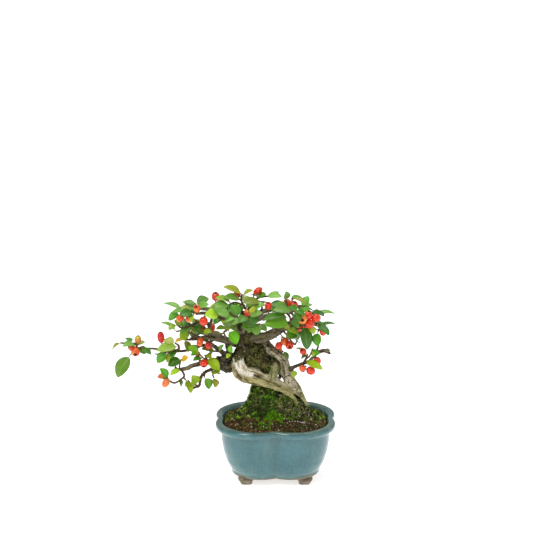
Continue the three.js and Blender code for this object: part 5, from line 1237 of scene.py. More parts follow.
pale_body = shell(wood_points, wood_quads[np.isin(wood_limb[wood_quads[:, 0]], PALE_LIMBS)])
trunk_moss = tufts(
    trunk_body, TRUNK_TUFTS, 5, random, [*MOSS_TINTS, (190, 184, 130)], [22, 22, 20, 22, 14, 16], (0.5, 1.4),
    on_trunk, clumped
)
pale_moss = tufts(
    pale_body, PALE_TUFTS, 4, random, MOSS_TINTS, MOSS_SHARES, (0.4, 0.9), on_stub_or_strands
)
SOIL_MOSS = [
    [-42, 57, 5], [42, 57, 5], [-36, 60, 6], [37, 61, 6], [-30, 58, 5], [-27, 61, 4], [-45, 54.5, 2.2],
    [-38, 60, 4], [34, 60, 5], [28, 57, 4], [-14, 56, 5], [16, 60, 6], [40, 62, 3], [-20, 50, 2],
    [-6, 66, 8], [38, 54, 2],
]


def on_soil_patches(middle, way):
    """Round patches of moss on the soil, each [across, up, radius] on the picture, with torn edges."""
    hits, _ = landed([row[:2] for row in SOIL_MOSS], soil_bed, mound_core)
    far = np.linalg.norm((middle[:, None] - hits[None]) * [1, 1, 0], axis=2) / [row[2] for row in SOIL_MOSS]
    near = eased(far.min(1) + 0.35 * noise(middle, 2, seed=103), 1.1, 0.7)
    return (near + 0.08 * (middle[:, 1] > -14) + 0.03) * (way[:, 2] > 0.3)


soil_moss = tufts(
    soil_bed, SOIL_TUFTS, 5, random, MOSS_TINTS, [20, 30, 30, 8, 4], (0.6, 1.8), on_soil_patches, clumped
)
SPRIG = [[-42.4, 64.6], [-43.6, 63.4], [-41.4, 63.2], [-45, 54.6], [-44, 53.8]]
sprig_hits, sprig_ways = landed(SPRIG, soil_bed, mound_core)
sprigs = [
    shoot(hit, unit(way + random.normal(0, 0.6, 3)), random.uniform(1.8, 2.8), paint(150, 164, 30), random)
    for hit, way in zip(sprig_hits, sprig_ways) for _ in range(5)
]
is_branch = ~np.isin(wood_limb, (*PALE_LIMBS, *MOSSY_LIMBS))
bud_body = shell(wood_points, wood_quads[is_branch[wood_quads[:, 0]]])
bud_feet, bud_outs = scattered(bud_body, BUDS, random)
bud_ways = unit(bud_outs + random.normal(0, 0.45, (BUDS, 3)) + [0, 0, 0.3])
bud_lengths = 0.6 + 1.9 * random.uniform(0, 1, BUDS) ** 3
bud_tints = mixed_tints([(104, 90, 68), (72, 58, 42), (152, 134, 98)], [4, 4, 2], BUDS, random)
buds = spikes(bud_feet - 0.3 * bud_outs, bud_ways, bud_lengths, np.full(BUDS, 0.9), bud_tints)
creeping = piece(
    "creeping_moss",
    [(moss.material, [trunk_moss, pale_moss, soil_moss, *sprigs]), (bark.material, [buds])],
)
print("creeping moss:", facets(creeping), "triangles")

# %% [markdown]
# A copper-coloured wire ties the root ball into the pot: up through the drain holes, over the roots and
# down again. The CAD part holds its real route, and this finer tube follows the same points. The plastic
# screen over the drain hole keeps its CAD shape and gets a woven-plastic finish.
# %% Anchor wire and drainage screen
WIRE_ROUTE = [
    [-3, -11, 4.4], [-10.5, -11, 4.4], [-13.5, -11, 5.4], [-14, -11, 9], [-14.5, -12, 20],
    [-15.5, -15.5, 42], [-16, -17, 54], [-13, -17.4, 59.4], [-4, -17.6, 59.8], [6, -17.4, 59.2],
    [9.5, -17, 54], [10, -15.5, 42], [12, -12, 20], [12, -11, 9], [11.5, -11, 5.4], [8.5, -11, 4.4],
    [2, -11, 4.4],
]
WIRE_STEPS = 160
WIRE_RADIUS = 0.6


def centripetal(points, steps):
    """A curve whose knots are spaced by the root of the distance: four points are mixed in pairs, the
    three results again, and the last two once more. It makes no loops where points lie close."""
    corners, share = four_near(points, steps)
    knots = [np.zeros(len(share))]
    for before, after in itertools.pairwise(corners):
        knots.append(knots[-1] + np.linalg.norm(after - before, axis=1) ** 0.5)
    t = knots[1] + (knots[2] - knots[1]) * share
    for spans in ([(0, 1), (1, 2), (2, 3)], [(0, 2), (1, 3)], [(1, 2)]):
        corners = [
            blended(first, second, ((t - knots[low]) / (knots[high] - knots[low]))[:, None])
            for (low, high), (first, second) in zip(spans, itertools.pairwise(corners))
        ]
    return corners[0]


wire_tube = tube_shell(centripetal(WIRE_ROUTE, WIRE_STEPS), WIRE_RADIUS, 12)
copper = Finish("copper", Metallic=0.75, Roughness=0.42)
copper_wear = copper.between(copper.noise(700, 3), 0.4, 0.65)
copper.look("Base Color", copper.mix(copper_wear, paint(150, 92, 62), paint(112, 78, 58)))
copper.bump(copper.noise(1500, 2), 0.2, 0.0001)
wire = piece("tie_wire", [(copper.material, [wire_tube])], ["anchor_wire"])
nylon = Finish("nylon", Roughness=0.55)
nylon.look("Base Color", nylon.mix(nylon.noise(800, 2), paint(26, 28, 27), paint(44, 46, 44)))
nylon.bump(nylon.speckle(1600), 0.2, 0.0002)
for held in NODES["drainage_screen"].material_slots:
    held.material = nylon.material
print("wire:", facets(wire), "triangles")

# %% [markdown]
# The leaves are small pointed ovals on thin stems, from bright green through grey-green to a few that have
# turned gold. Each spray is one piece: its stems, with swollen joints, and its leaves. The table gives
# stems as runs of [across, up, depth], and leaves as [base across, base up, tip across, tip up, base depth,
# tip depth, width, turn], where turn is the angle about the rib from facing the eye to facing up. Each leaf
# has a letter for its tone. Leaves at the back grow by rule: how many to a stem, the shortest and longest,
# and a seed.
# %% Sprays
SPRAYS = {
  "spray_far_left_tip": {
    "stems": [[[-117, 123.6, -0.6], [-125, 124.5, 1], [-127, 128.4, 2], [-133, 128.8, 3],
      [-140.5, 129.2, 4]],
      [[-125, 124.5, 1], [-129, 121, -2], [-131.5, 118, -4]]],
    "leaves": [[-131.5, 118, -144.5, 96, -4, -9, 12, 15], [-140.5, 129.2, -148.5, 122, 4, 6, 7, 72],
      [-127, 128.4, -138, 126.6, 2, -4, 8, 50], [-126, 127, -118, 130, 2, 6, 6, 50],
      [-124.5, 125.4, -117.6, 119, 1, -5, 8.5, 38], [-122, 124, -113, 117.6, 0, -8, 7, 35],
      [-126, 125.6, -119, 131.4, 1.6, 14, 8, 60], [-131, 128.6, -137, 134, 3, 14, 8, 60]],
    "tones": "botltdgg",
  },
  "spray_far_left_middle": {
    "stems": [[[-88, 121.2, -8.4], [-87.6, 124, -11], [-88, 127, -12.6], [-91, 129, -12]],
      [[-87.7, 123.4, -10.6], [-93, 121.6, -12.6], [-98, 118.6, -12]]],
    "leaves": [[-88, 126, -108, 122, -12, -17, 9.5, 25], [-91, 129, -102, 132, -12, -8, 9, 48],
      [-98, 118.6, -108, 110.5, -12, -15, 9, 22], [-94.5, 120.6, -98.5, 110, -12.4, -15, 5.5, 40],
      [-89, 123, -94.5, 114.6, -11.4, -17, 7, 45], [-98, 118.6, -109.5, 117.4, -12, -8, 6, 66]],
    "tones": "spgydg",
  },
  "spray_left_low_end": {
    "stems": [[[-86, 103.8, -14], [-83.4, 99, -16], [-84, 96, -17], [-91.5, 90.6, -17.4], [-97, 93, -17.4],
      [-100, 95.6, -17.6]],
      [[-84, 96, -17], [-81.4, 93, -17.6]],
      [[-85, 102, -15], [-87.4, 106, -17.6], [-86.4, 111, -14], [-85, 113.6, -12]]],
    "leaves": [[-98, 94.4, -105, 105, -17.4, -18, 8, 38], [-97, 93.4, -106, 99, -17.4, -21, 7, 40],
      [-86.4, 103.9, -96, 98.6, -16.4, -18, 6.5, 42], [-100, 95.4, -107.6, 97.4, -17.6, -14, 6, 40],
      [-85, 113.6, -98, 107.4, -12, -14, 9.5, 28], [-81.4, 93, -77, 80.6, -17.6, -19, 8.5, 42],
      [-86, 112, -79, 115.4, -13.4, -15, 6.5, 40], [-88, 93, -86, 86, -17, -13, 7, 60]],
    "tones": "gblrdyag",
  },
  "spray_left_drop": {
    "radius": [2, 1],
    "stems": [[[-50, 106.6, -3], [-55, 105.4, -5], [-60, 103, -7], [-64, 101, -9], [-68, 96, -12],
      [-69.5, 88, -13], [-73, 86.5, -14], [-76, 85, -15]],
      [[-64, 101, -9], [-64.6, 98, -11.6], [-64.4, 95.6, -12.6]],
      [[-58, 104.2, -6.2], [-57, 98, -8], [-56, 95.6, -8]],
      [[-69.5, 88, -13], [-74, 88.8, -14.6], [-77, 90, -15], [-80, 93.6, -16]]],
    "leaves": [[-72, 88.4, -76.4, 98, -14, -17, 10.5, 20], [-64.5, 96, -60, 84.6, -12.4, -14, 9, 35],
      [-56, 96, -55, 86, -8, -10, 7.5, 42], [-59, 101.4, -50.4, 101.4, -7.4, -12, 10, 40],
      [-78, 91, -83, 87, -15.2, -12, 6, 50]],
    "tones": "lboly",
  },
  "spray_left_inner": {
    "stems": [[[-62, 110.2, -8], [-62.6, 113.6, -11], [-64, 117.6, -11.6]],
      [[-62.6, 113.6, -11], [-66, 115, -13.4], [-69, 119, -14.4]]],
    "leaves": [[-69, 119, -79.6, 125, -14.4, -18, 9.5, 35], [-64, 117.6, -58, 115.4, -11.6, -14, 7, 45],
      [-61.4, 114.6, -50.4, 103.6, -12.4, -15, 10.5, 30], [-66, 115, -75, 111.8, -13.4, -18, 6, 45],
      [-69, 118.6, -77, 117, -14.4, -8, 8, 55]],
    "tones": "boygg",
  },
  "spray_knob_shoot": {
    "stems": [[[-48, 119.4, -2], [-51, 121, -6], [-57, 121.4, -8]]],
    "leaves": [[-54, 121.4, -67, 123.4, -7.4, -12, 8.5, 50], [-51.4, 121, -47, 127.6, -6.4, -11, 4.6, 40],
      [-56, 121.4, -60.6, 116.4, -8, -3, 7.5, 60]],
    "tones": "otg",
  },
  "spray_left_high": {
    "stems": [[[-68, 134, -8], [-72, 132.6, -10.4], [-79, 132.4, -11.6], [-83, 132.4, -12]],
      [[-75, 132.5, -11], [-71, 136.4, -15.4], [-65, 140, -15.4]]],
    "leaves": [[-79, 132.4, -86.4, 140, -11.6, -16, 11.5, 24], [-82.5, 132.4, -79, 120.4, -12, -14, 8, 46],
      [-83, 132.4, -91, 129.4, -12, -13, 6.4, 60], [-65, 140, -74, 142.6, -15.4, -19, 10.5, 35],
      [-67, 139, -58, 139.6, -15.4, -19, 7.5, 50]],
    "tones": "loady",
  },
  "spray_left_upper": {
    "stems": [[[-60.2, 141.6, -8], [-66, 144, -13], [-76, 145.6, -17], [-84, 143.6, -18],
      [-89.4, 146.6, -18]],
      [[-68, 144.4, -14], [-72, 151.6, -18]]],
    "leaves": [[-89.4, 146.6, -96.8, 141.6, -18, -20, 7, 42], [-86, 144.4, -91, 151.6, -18, -14, 8, 48],
      [-72, 151.6, -81, 150.4, -18, -22, 8, 45], [-79, 145, -84, 137.6, -17.6, -20, 7.5, 50],
      [-72, 145, -79, 140.4, -15.6, -10, 8, 60], [-76, 145.6, -73, 138.4, -17, -21, 7.5, 50]],
    "tones": "lylggo",
  },
  "spray_crown_left_end": {
    "stems": [[[-70, 157.1, -31.6], [-76, 158.6, -31], [-83, 158.4, -29], [-86, 156.4, -28]],
      [[-73, 157.9, -31.4], [-71, 162, -28], [-72, 166, -24]]],
    "leaves": [[-71, 165.6, -84.6, 168.6, -24.6, -20, 9, 66], [-72, 166, -60, 171.6, -24, -22, 10.5, 42],
      [-76, 159, -86, 163.4, -31, -28, 9, 50], [-74, 158.2, -86.4, 156.2, -31.4, -37, 9.5, 38],
      [-83, 158.4, -94.4, 158.4, -29, -24, 8, 62], [-86, 156.4, -97, 152.6, -28, -30, 8.5, 40],
      [-73, 157.6, -75.6, 150.6, -31.6, -37, 7, 45], [-71, 162, -60, 165.6, -28, -30, 9, 45],
      [-82, 158.4, -83, 150, -29.6, -19, 7.5, 55]],
    "tones": "tgpdtglto",
  },
  "spray_crown_left": {
    "stems": [[[-47, 151, -20.8], [-50, 153.6, -27.6], [-51, 155.6, -31]],
      [[-49.6, 153.2, -26.6], [-44.6, 147, -30], [-43, 141, -31]]],
    "leaves": [[-50, 155.6, -64, 155.4, -30.6, -36, 11.5, 34], [-49, 152, -42, 141.4, -28, -36, 8.5, 48],
      [-43, 141, -34.4, 128.4, -31, -33, 11.5, 28], [-43.4, 142.6, -54, 142, -31, -33, 8, 60],
      [-47, 150, -35.6, 141, -29, -39, 10.5, 36], [-48.6, 151.6, -56, 146.6, -28, -32, 8, 50],
      [-50.6, 155.6, -55, 163.4, -31, -27, 9.5, 42]],
    "tones": "lyvytgt",
  },
  "spray_crown_centre": {
    "stems": [[[-31.6, 150, -36], [-33, 153, -39], [-40, 155.4, -40]],
      [[-32.6, 152.6, -38.6], [-26, 154, -39], [-20, 156, -39]]],
    "leaves": [[-40, 155.4, -52.6, 157.4, -40, -43, 9.5, 32], [-34, 153.6, -39.6, 166, -39, -32, 11.5, 34],
      [-30, 153.2, -39, 146, -39, -45, 9, 40], [-20, 156, -20, 164.6, -39, -34, 8, 40],
      [-22, 155.2, -18, 147.6, -39, -44, 8, 35], [-25, 154.2, -33, 149, -39, -45, 9, 35],
      [-24, 154.4, -12, 158, -39, -42, 8.5, 45], [-38, 154.8, -44, 150, -40, -46, 8, 42]],
    "tones": "tgtodgtt",
  },
  "spray_crown_front_left": {
    "stems": [[[-22, 149.6, -6.4], [-20, 146, -18], [-17, 146.6, -26], [-14.4, 147.4, -31]]],
    "leaves": [[-15.4, 147, -17.4, 136.6, -29, -33, 11, 34], [-15.4, 147.2, -32, 148.8, -29, -34, 10.5, 40],
      [-18, 146.4, -31, 143.6, -23.6, -27, 9, 42], [-17, 146.6, -8, 140.6, -26, -30, 8.5, 45],
      [-19.6, 146.2, -25, 139, -20, -25, 8, 45]],
    "tones": "tgbtt",
  },
  "spray_crown_top_left": {
    "stems": [[[-24.4, 158, 3.6], [-29, 165, 4], [-31, 171, 5], [-30, 175.6, 5]],
      [[-29, 165, 4], [-36, 168, 2], [-41, 166.4, -2]]],
    "leaves": [[-41, 166.4, -55.4, 163.4, -2, -8, 9.5, 40], [-39, 167.4, -54.6, 171.4, -0.6, 2, 9, 48],
      [-31, 171, -46.6, 172.4, 5, 0, 9, 46], [-30, 175.6, -47, 182.6, 5, 2, 8, 44],
      [-30, 174.6, -20.6, 179.4, 5, 2, 7.5, 62], [-28.6, 164, -14.6, 168, 4, -2, 9.5, 40],
      [-35, 167.8, -40, 159.6, 2.6, -6, 9, 42], [-30.6, 169, -23, 173, 4.6, 10, 8.5, 55]],
    "tones": "tstootgl",
  },
  "spray_crown_top": {
    "stems": [[[-20.4, 167, 5], [-16.6, 171.6, 5], [-9, 173.6, 4], [-3, 172.6, 3]],
      [[-18.4, 169.6, 5], [-13, 168.6, -1], [-6, 167.6, -7]]],
    "leaves": [[-9, 173.6, 5.6, 173.4, 4, 1, 8.5, 48], [-16.6, 171.6, -8.4, 175.6, 5, 0, 7, 48],
      [-3, 172.6, 4, 178.4, 3, 8, 8, 62], [-6, 167.6, 9.6, 161.6, -7, -12, 9.5, 38],
      [-13, 168.6, -29.6, 167.6, -1, -9, 9.5, 42], [-8, 168, -2.4, 159.6, -5, -12, 8.5, 40],
      [-14, 172.4, -22, 176, 5, 12, 8, 58], [-10, 168.2, -18, 161, -4, -11, 8.5, 45]],
    "tones": "tggdsggt",
  },
  "spray_crown_right_front": {
    "stems": [[[9, 158.7, -28.4], [12.6, 154.6, -33], [13.6, 150, -35]],
      [[11.4, 156.2, -31.4], [15.4, 159.4, -34], [18, 158.6, -35]]],
    "leaves": [[13.6, 149.6, -10.6, 146.6, -35, -41, 13, 28], [13, 154, -12, 151.6, -33.4, -38, 9.5, 46],
      [17, 159.4, 20.6, 149.4, -34.6, -38, 9.5, 36], [15.4, 159.6, -2.6, 160.6, -34, -38, 9.5, 44],
      [13.4, 151, 21, 143.6, -34.6, -38, 8, 42], [18, 158.6, 27, 156.6, -35, -31, 8, 48]],
    "tones": "mgdtgd",
  },
  "spray_crown_right_top": {
    "stems": [[[17, 154, -8], [13, 160, -10], [10, 165, -9], [9.4, 170, -7]],
      [[12.2, 161.4, -10], [15, 165, -5], [14.6, 172.4, -1]],
      [[14.4, 164, -6.4], [22, 164.6, -7], [29, 163, -8], [33, 160.6, -8]]],
    "leaves": [[9.4, 170, 9.2, 178.4, -7, -8, 7.5, 38], [14.6, 172.4, 27.6, 165.4, -1, -7, 8.5, 62],
      [12, 161.4, -1, 165.4, -10, -15, 9, 42], [22, 164.2, 30, 157.6, -7, -13, 8.5, 40],
      [33, 160.6, 38.6, 155.4, -8, -11, 8, 46], [10.6, 163.8, 18.6, 159, -9.4, -18, 8, 42],
      [15, 170, 23, 173.6, -2, 8, 7.5, 60], [28, 163, 34, 165.6, -8, 0, 8, 60]],
    "tones": "totgddgt",
  },
  "spray_right_end": {
    "stems": [[[18.6, 149.4, -13.6], [24, 149.4, -14.4], [29, 150.4, -11], [34, 148.6, -11], [40, 146, -13],
      [38.4, 140, -15]],
      [[23, 149.4, -14.3], [24.6, 146.6, -17], [30, 145, -19]]],
    "leaves": [[24.6, 146.4, 29.4, 122.6, -17, -22, 11.5, 26], [38.4, 140, 37.4, 126, -15, -18, 9.5, 32],
      [38, 147.4, 48.4, 136.6, -12, -15, 9, 42], [30, 145, 35, 137.6, -19, -22, 8, 45],
      [33, 149, 41.6, 148.6, -10.8, -4, 8, 50], [29, 150.2, 33, 141, -11, -4, 8.5, 55]],
    "tones": "dgdldg",
  },
  "spray_right_middle": {
    "stems": [[[7, 142.6, -9.2], [14, 140.6, -12], [21, 138.6, -13], [25, 141, -13.6]]],
    "leaves": [[20, 138.8, 9.4, 134.6, -13, -17, 10.5, 34], [22, 139, 11.6, 141, -13, -18, 8.5, 48],
      [24.6, 140.8, 32.6, 137.6, -13.6, -9, 7.5, 50], [17, 139.8, 19.6, 130.4, -12.6, -8, 8.5, 50],
      [15, 140.4, 6, 145.6, -12, -22, 8, 45]],
    "tones": "blygl",
  },
  "spray_right_low": {
    "stems": [[[25, 109.3, -14], [27.6, 114, -14.6], [29, 118.4, -15]],
      [[27, 112.8, -14.5], [31.4, 117.4, -18], [33.4, 124, -18]]],
    "leaves": [[27, 112.4, 43, 103.6, -14.8, -27, 7.5, 30], [29, 118.4, 17, 124.4, -15, -18, 6.6, 64],
      [33.4, 122, 33.8, 115.6, -18, -22, 5.5, 45], [31.6, 117.6, 40, 120, -18, -8, 7.5, 55],
      [28.4, 117, 23, 113.6, -15, -9, 7, 60]],
    "tones": "yoygd",
  },
  "spray_right_shoot": {
    "stems": [[[11.4, 104, -7.4], [15, 102, -11], [16, 103.4, -13]]],
    "leaves": [[16, 103.4, 16.4, 95.6, -13, -14, 6.4, 32]],
    "tones": "y",
  },
  "spray_stem_shoot": {
    "stems": [[[3.6, 118.5, -8], [6.6, 121.4, -10.6]]],
    "leaves": [[6.6, 121.4, 11.6, 112.4, -10.6, -12, 6.4, 55], [6, 121, 0.6, 124.6, -10.2, -12, 5.5, 50]],
    "tones": "go",
  },
  "spray_trunk_shoot": {
    "stems": [[[-42, 121, -3], [-40.6, 119, -8.4], [-40.2, 118.8, -9.6]]],
    "leaves": [[-40.4, 119, -40, 127, -9, -11, 6, 35], [-40.4, 119, -44.6, 114.6, -9, -11, 5, 40]],
    "tones": "bl",
  },
  "spray_crown_back": {
    "stems": [[[-35, 157.2, 45], [-37, 155, 54], [-40, 151, 62]],
      [[-36, 156.2, 49.6], [-43, 158, 51], [-50, 156, 53]],
      [[-36.4, 155.8, 51.4], [-30, 159, 56], [-23, 158, 58]]],
    "grow": [3, 15, 20, 11],
  },
  "spray_crown_back_left": {
    "stems": [[[-66, 161.8, 23.8], [-74, 163, 27], [-84, 160, 30]],
      [[-71, 162.6, 25.6], [-72, 160, 36], [-74, 156, 44]],
      [[-69.6, 162.4, 25], [-62, 160, 34], [-58, 156, 43]]],
    "grow": [3, 15, 20, 23],
  },
  "spray_crown_back_right": {
    "stems": [[[22, 163.2, 29.8], [30, 160, 33], [36, 155, 34]],
      [[26.4, 161.6, 31.8], [22, 160, 40], [18, 156, 46]],
      [[25.4, 162, 31.4], [14, 163, 38], [6, 160, 44]]],
    "grow": [3, 15, 20, 37],
  },
  "spray_back_left": {
    "stems": [[[-72, 140, 33.4], [-80, 142, 36], [-90, 140, 36]],
      [[-76, 141.2, 35], [-76, 137, 44], [-74, 132, 50]],
      [[-75, 141, 34.6], [-66, 138, 42], [-58, 134, 47]]],
    "grow": [3, 15, 20, 41],
  },
  "spray_back_right": {
    "stems": [[[22, 149, 29.4], [30, 148, 33], [39, 145, 33]],
      [[26, 148.7, 31.4], [20, 145, 39], [13, 141, 43]]],
    "grow": [3, 15, 20, 59],
  },
}
# %% [markdown]
# A leaf that would have touched another piece was bent clear in the CAD part: its tip slid along the line
# of sight and the blade turned a little more. The same list of bends is tried here, and the one whose tip
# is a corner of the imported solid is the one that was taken. Leaves at the back sit along each stem, left
# and right in turn, with a spread, a lift and a length drawn from a seeded sequence. They swing clear
# instead of bending.
# %% Where each leaf goes
STALKED_FROM = 2.6  # a leaf whose base is further off its stem has a stalk
HALF_BLADE = 0.35  # half the thickness of the CAD part's blades, from a leaf's chord to its upper tip
BENDS = [  # millimetres along the line of sight, and degrees of turn
    (0, 0), (-3, 0), (3, 0), (-6, 0), (6, 0), (-9, 8), (9, 8), (-12, -8), (12, -8), (-15, 0), (15, 0),
    (0, 20), (-8, 24), (8, 24), (0, -20), (-8, -20), (8, -20),
]
SWINGS = [  # degrees sideways and upwards
    (0, 0), (14, 0), (-14, 0), (0, 14), (0, -14), (28, 0), (-28, 0), (20, 18), (-20, 18), (20, -18),
    (-20, -18), (42, 8), (-42, 8), (0, 30), (0, -30),
]
GROWN_ALONG = (0.22, 0.96, 0.98)  # shares of the stem: the first leaf, the last pair and the end leaf
GROWN_SPREAD = (56, 24)  # degrees, and how much they vary
GROWN_LIFT = (14, 40)
GROWN_WIDTH = 0.5  # of its length
UP = np.array([0.0, 0.0, 1.0])


def drawn(seed):
    """A sequence of numbers in 0..1 from 32-bit steps, multiplied and mixed: the part's own draw."""
    mask = 0xFFFFFFFF
    state = seed
    while True:
        state = (state + 0x6D2B79F5) & mask
        mixed = ((state ^ (state >> 15)) * (state | 1)) & mask
        mixed = ((mixed + (((mixed ^ (mixed >> 7)) * (mixed | 61)) & mask)) & mask) ^ mixed
        yield ((mixed ^ (mixed >> 14)) & mask) / 2**32


def square_to(way, vector):
    """A vector without its part along a unit direction, made unit length."""
    return unit(vector - way * np.dot(way, vector))


def face_of(base, tip, turn):
    """The way a placed leaf's upper side looks: towards the eye times cosine, upwards times sine."""
    chord = unit(tip - base)
    to_eye = square_to(chord, EYE - base)
    beside = np.cross(chord, to_eye)
    beside = -beside if beside[2] < 0 else beside
    angle = math.radians(turn)
    return to_eye * math.cos(angle) + beside * math.sin(angle)


def nearest_on(paths, point):
    """The nearest point on several broken lines: the foot of the perpendicular, kept on each part."""
    start = np.concatenate([path[:-1] for path in paths])
    step = np.concatenate([path[1:] - path[:-1] for path in paths])
    share = np.clip(((point - start) * step).sum(1) / (step**2).sum(1), 0, 1)
    places = start + step * share[:, None]
    return places[np.linalg.norm(places - point, axis=1).argmin()]


def taken(choices, corners):
    """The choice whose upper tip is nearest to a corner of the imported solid."""
    tips = np.array([tip + HALF_BLADE * normal for tip, normal in choices])
    gaps = np.linalg.norm(corners[None] - tips[:, None], axis=2).min(1)
    return choices[int(gaps.argmin())], float(gaps.min())


def placed_leaf(row, paths):
    """A leaf of the table: its base, its foot on the stem, its width and its possible tips."""
    base = seen([row[0], row[1], row[4]])
    choices = []
    for move, twist in BENDS:
        tip = seen([row[2], row[3], row[5] + move])
        choices.append((tip, face_of(base, tip, row[7] + twist)))
    return base, nearest_on(paths, base), row[6], choices


def grown_leaves(count, shortest, longest, seed, paths):
    """Leaves along stems by rule, in the draw order spread, lift, length."""
    draw = drawn(seed)
    first, last, end = GROWN_ALONG
    for path in paths:
        along = square_to(UP, path[-1] - path[0])
        for i in range(count):
            at_end = i == count - 1
            place = (end if at_end else first + (last - first) * i / (count - 1)) * (len(path) - 1)
            base = path[int(place)] + (path[int(place) + 1] - path[int(place)]) * (place % 1)
            spread = 0 if at_end else (-1) ** i * (GROWN_SPREAD[0] + GROWN_SPREAD[1] * (next(draw) - 0.5))
            lift = GROWN_LIFT[0] + GROWN_LIFT[1] * (next(draw) - 0.5)
            length = shortest + (longest - shortest) * next(draw)
            choices = []
            for swing, more in SWINGS:
                turn = math.radians(spread + swing)
                rise = math.radians(lift + more)
                flat = along * math.cos(turn) + np.cross(UP, along) * math.sin(turn)
                chord = flat * math.cos(rise) + UP * math.sin(rise)
                choices.append((base + chord * length, square_to(chord, UP)))
            yield base, base, GROWN_WIDTH * length, choices


# %% [markdown]
# One leaf is a grid in two parameters: along the rib, u from base to tip, and across it, v from edge to
# edge. Its half width is u to the power 0.6 times (1 - u) to the power 0.8, which is an oval that is
# widest before the middle and narrows to its tip. The blade arches over its chord, folds up from the rib,
# waves at its edges and droops or curls a little at its tip. Upper and lower sides meet at a thin rim, so
# it is closed.
# %% One leaf
LEAF_ALONG = np.array([0.012, 0.06, 0.14, 0.25, 0.37, 0.5, 0.63, 0.75, 0.86, 0.94, 0.985])
LEAF_ACROSS = np.array([-1, -0.72, -0.36, 0, 0.36, 0.72, 1])
LEAF_THICK = 0.32
BLADE_ARCH = 0.07
BASE_ROUND = 0.6
TIP_ROUND = 0.8
LEAF_FULLNESS = 1.1  # soft edges stand a little past the flat-sided blades of the CAD part
WIDEST_AT = BASE_ROUND / (BASE_ROUND + TIP_ROUND)
WIDEST = WIDEST_AT**BASE_ROUND * (1 - WIDEST_AT) ** TIP_ROUND
u = LEAF_ALONG[:, None]
v = np.concatenate([LEAF_ACROSS, LEAF_ACROSS[-2:0:-1]])[None]
UNDER = np.concatenate([np.zeros(len(LEAF_ACROSS)), np.ones(len(LEAF_ACROSS) - 2)])[None]
LEAF_HALF = u**BASE_ROUND * (1 - u) ** TIP_ROUND / WIDEST
LEAF_SIDE = np.where(UNDER, -0.5, 0.5) * (1 - v**2) ** 0.7 * LEAF_THICK


def leaf_shell(base, tip, width, normal, tint, random):
    """A leaf from base to tip: chord times u, side times v times the half width, and the normal times
    the sum of arch 4u(1-u), fold |v|^1.3, wave sin(u) v^2, curl u^3 and half the thickness."""
    chord = tip - base
    length = np.linalg.norm(chord)
    side = unit(np.cross(chord, normal))
    fold = random.uniform(0.16, 0.42)
    curl = random.uniform(-0.09, 0.02) * length
    wave = random.uniform(0.003, 0.014) * length * np.sin(u * random.uniform(9, 15) + random.uniform(0, 6))
    lean = random.uniform(-0.06, 0.06) * length
    half = LEAF_FULLNESS * width / 2 * LEAF_HALF
    rise = BLADE_ARCH * length * 4 * u * (1 - u) + fold * np.abs(v) ** 1.3 * half
    rise = rise + wave * v**2 * np.sign(v) * LEAF_HALF + curl * u**3
    rise = rise + LEAF_SIDE * np.minimum(1, 4 * LEAF_HALF)
    across = v * half * math.cos(fold) + lean * u * (1 - u) * 2
    rings = base + chord * u[..., None] + side * across[..., None] + normal * rise[..., None]
    rib = np.stack([(v + 1) / 2 + 0 * u, u + 0 * v], -1)
    return ringed(rings, tint=tint, rib=rib, under=UNDER + 0 * u)


# %% [markdown]
# The leaves' tones were judged leaf by leaf, and are the letters in the table of sprays. Each leaf
# is then a little lighter or darker than its tone. The shader adds the pale rib and side veins in the
# blade's own coordinates, lighter and yellower flecks, brown spots, a browner edge and the paler, felted
# underside.
# %% Leaf tones and finish
TONES = {
    "b": (98, 162, 20), "g": (74, 144, 26), "d": (38, 108, 4), "t": (108, 164, 60), "y": (154, 186, 14),
    "l": (160, 196, 36), "o": (138, 146, 30), "a": (226, 176, 12), "s": (130, 158, 46), "p": (176, 194, 84),
    "r": (214, 104, 30), "v": (102, 180, 0), "m": (110, 172, 36),
}
BACK_TONES = "gdtgbdyoglt"
leaf = Finish("leaf", Specular_IOR_Level=0.5)
under = leaf.attribute("under", "Fac")
rib_place = leaf.add("ShaderNodeUVMap", uv_map="rib").outputs["UV"]
split = leaf.add("ShaderNodeSeparateXYZ")
leaf.put(split.inputs["Vector"], rib_place)
across = leaf.math("ABSOLUTE", leaf.math("SUBTRACT", split.outputs["X"], 0.5))
along = split.outputs["Y"]
vein_phase = leaf.math("SUBTRACT", leaf.times(along, 8.0), leaf.times(across, 5.0))
vein_gap = leaf.math("ABSOLUTE", leaf.math("SUBTRACT", leaf.math("FRACT", vein_phase), 0.5))
side_vein = leaf.times(leaf.between(vein_gap, 0.12, 0.0), leaf.between(across, 0.5, 0.3))
mid_vein = leaf.between(across, 0.055, 0.015)
veins = leaf.math("MAXIMUM", mid_vein, leaf.times(side_vein, 0.45))
blotch = leaf.between(leaf.noise(260, 3), 0.35, 0.7)
leaf_colour = leaf.mix(leaf.times(blotch, 0.09), leaf.attribute("tint"), paint(190, 196, 60))
leaf_colour = leaf.mix(leaf.times(veins, 0.24), leaf_colour, paint(186, 204, 110))
edge_share = leaf.times(leaf.between(across, 0.44, 0.5), leaf.between(leaf.noise(500, 2), 0.45, 0.6))
leaf_colour = leaf.mix(leaf.times(edge_share, 0.5), leaf_colour, paint(150, 104, 50))
spot = leaf.between(leaf.noise(620, 2), 0.7, 0.76)
leaf_colour = leaf.mix(leaf.times(spot, 0.7), leaf_colour, paint(120, 76, 40))
under_colour = leaf.mix(0.5, leaf_colour, paint(176, 188, 140))
leaf.look("Base Color", leaf.mix(under, leaf_colour, under_colour))
leaf.look("Roughness", leaf.between(under, 0, 1, 0.33, 0.8))
leaf.bump(leaf.math("SUBTRACT", leaf.times(leaf.noise(1200, 2), 0.3), veins), 0.35, 0.00025)

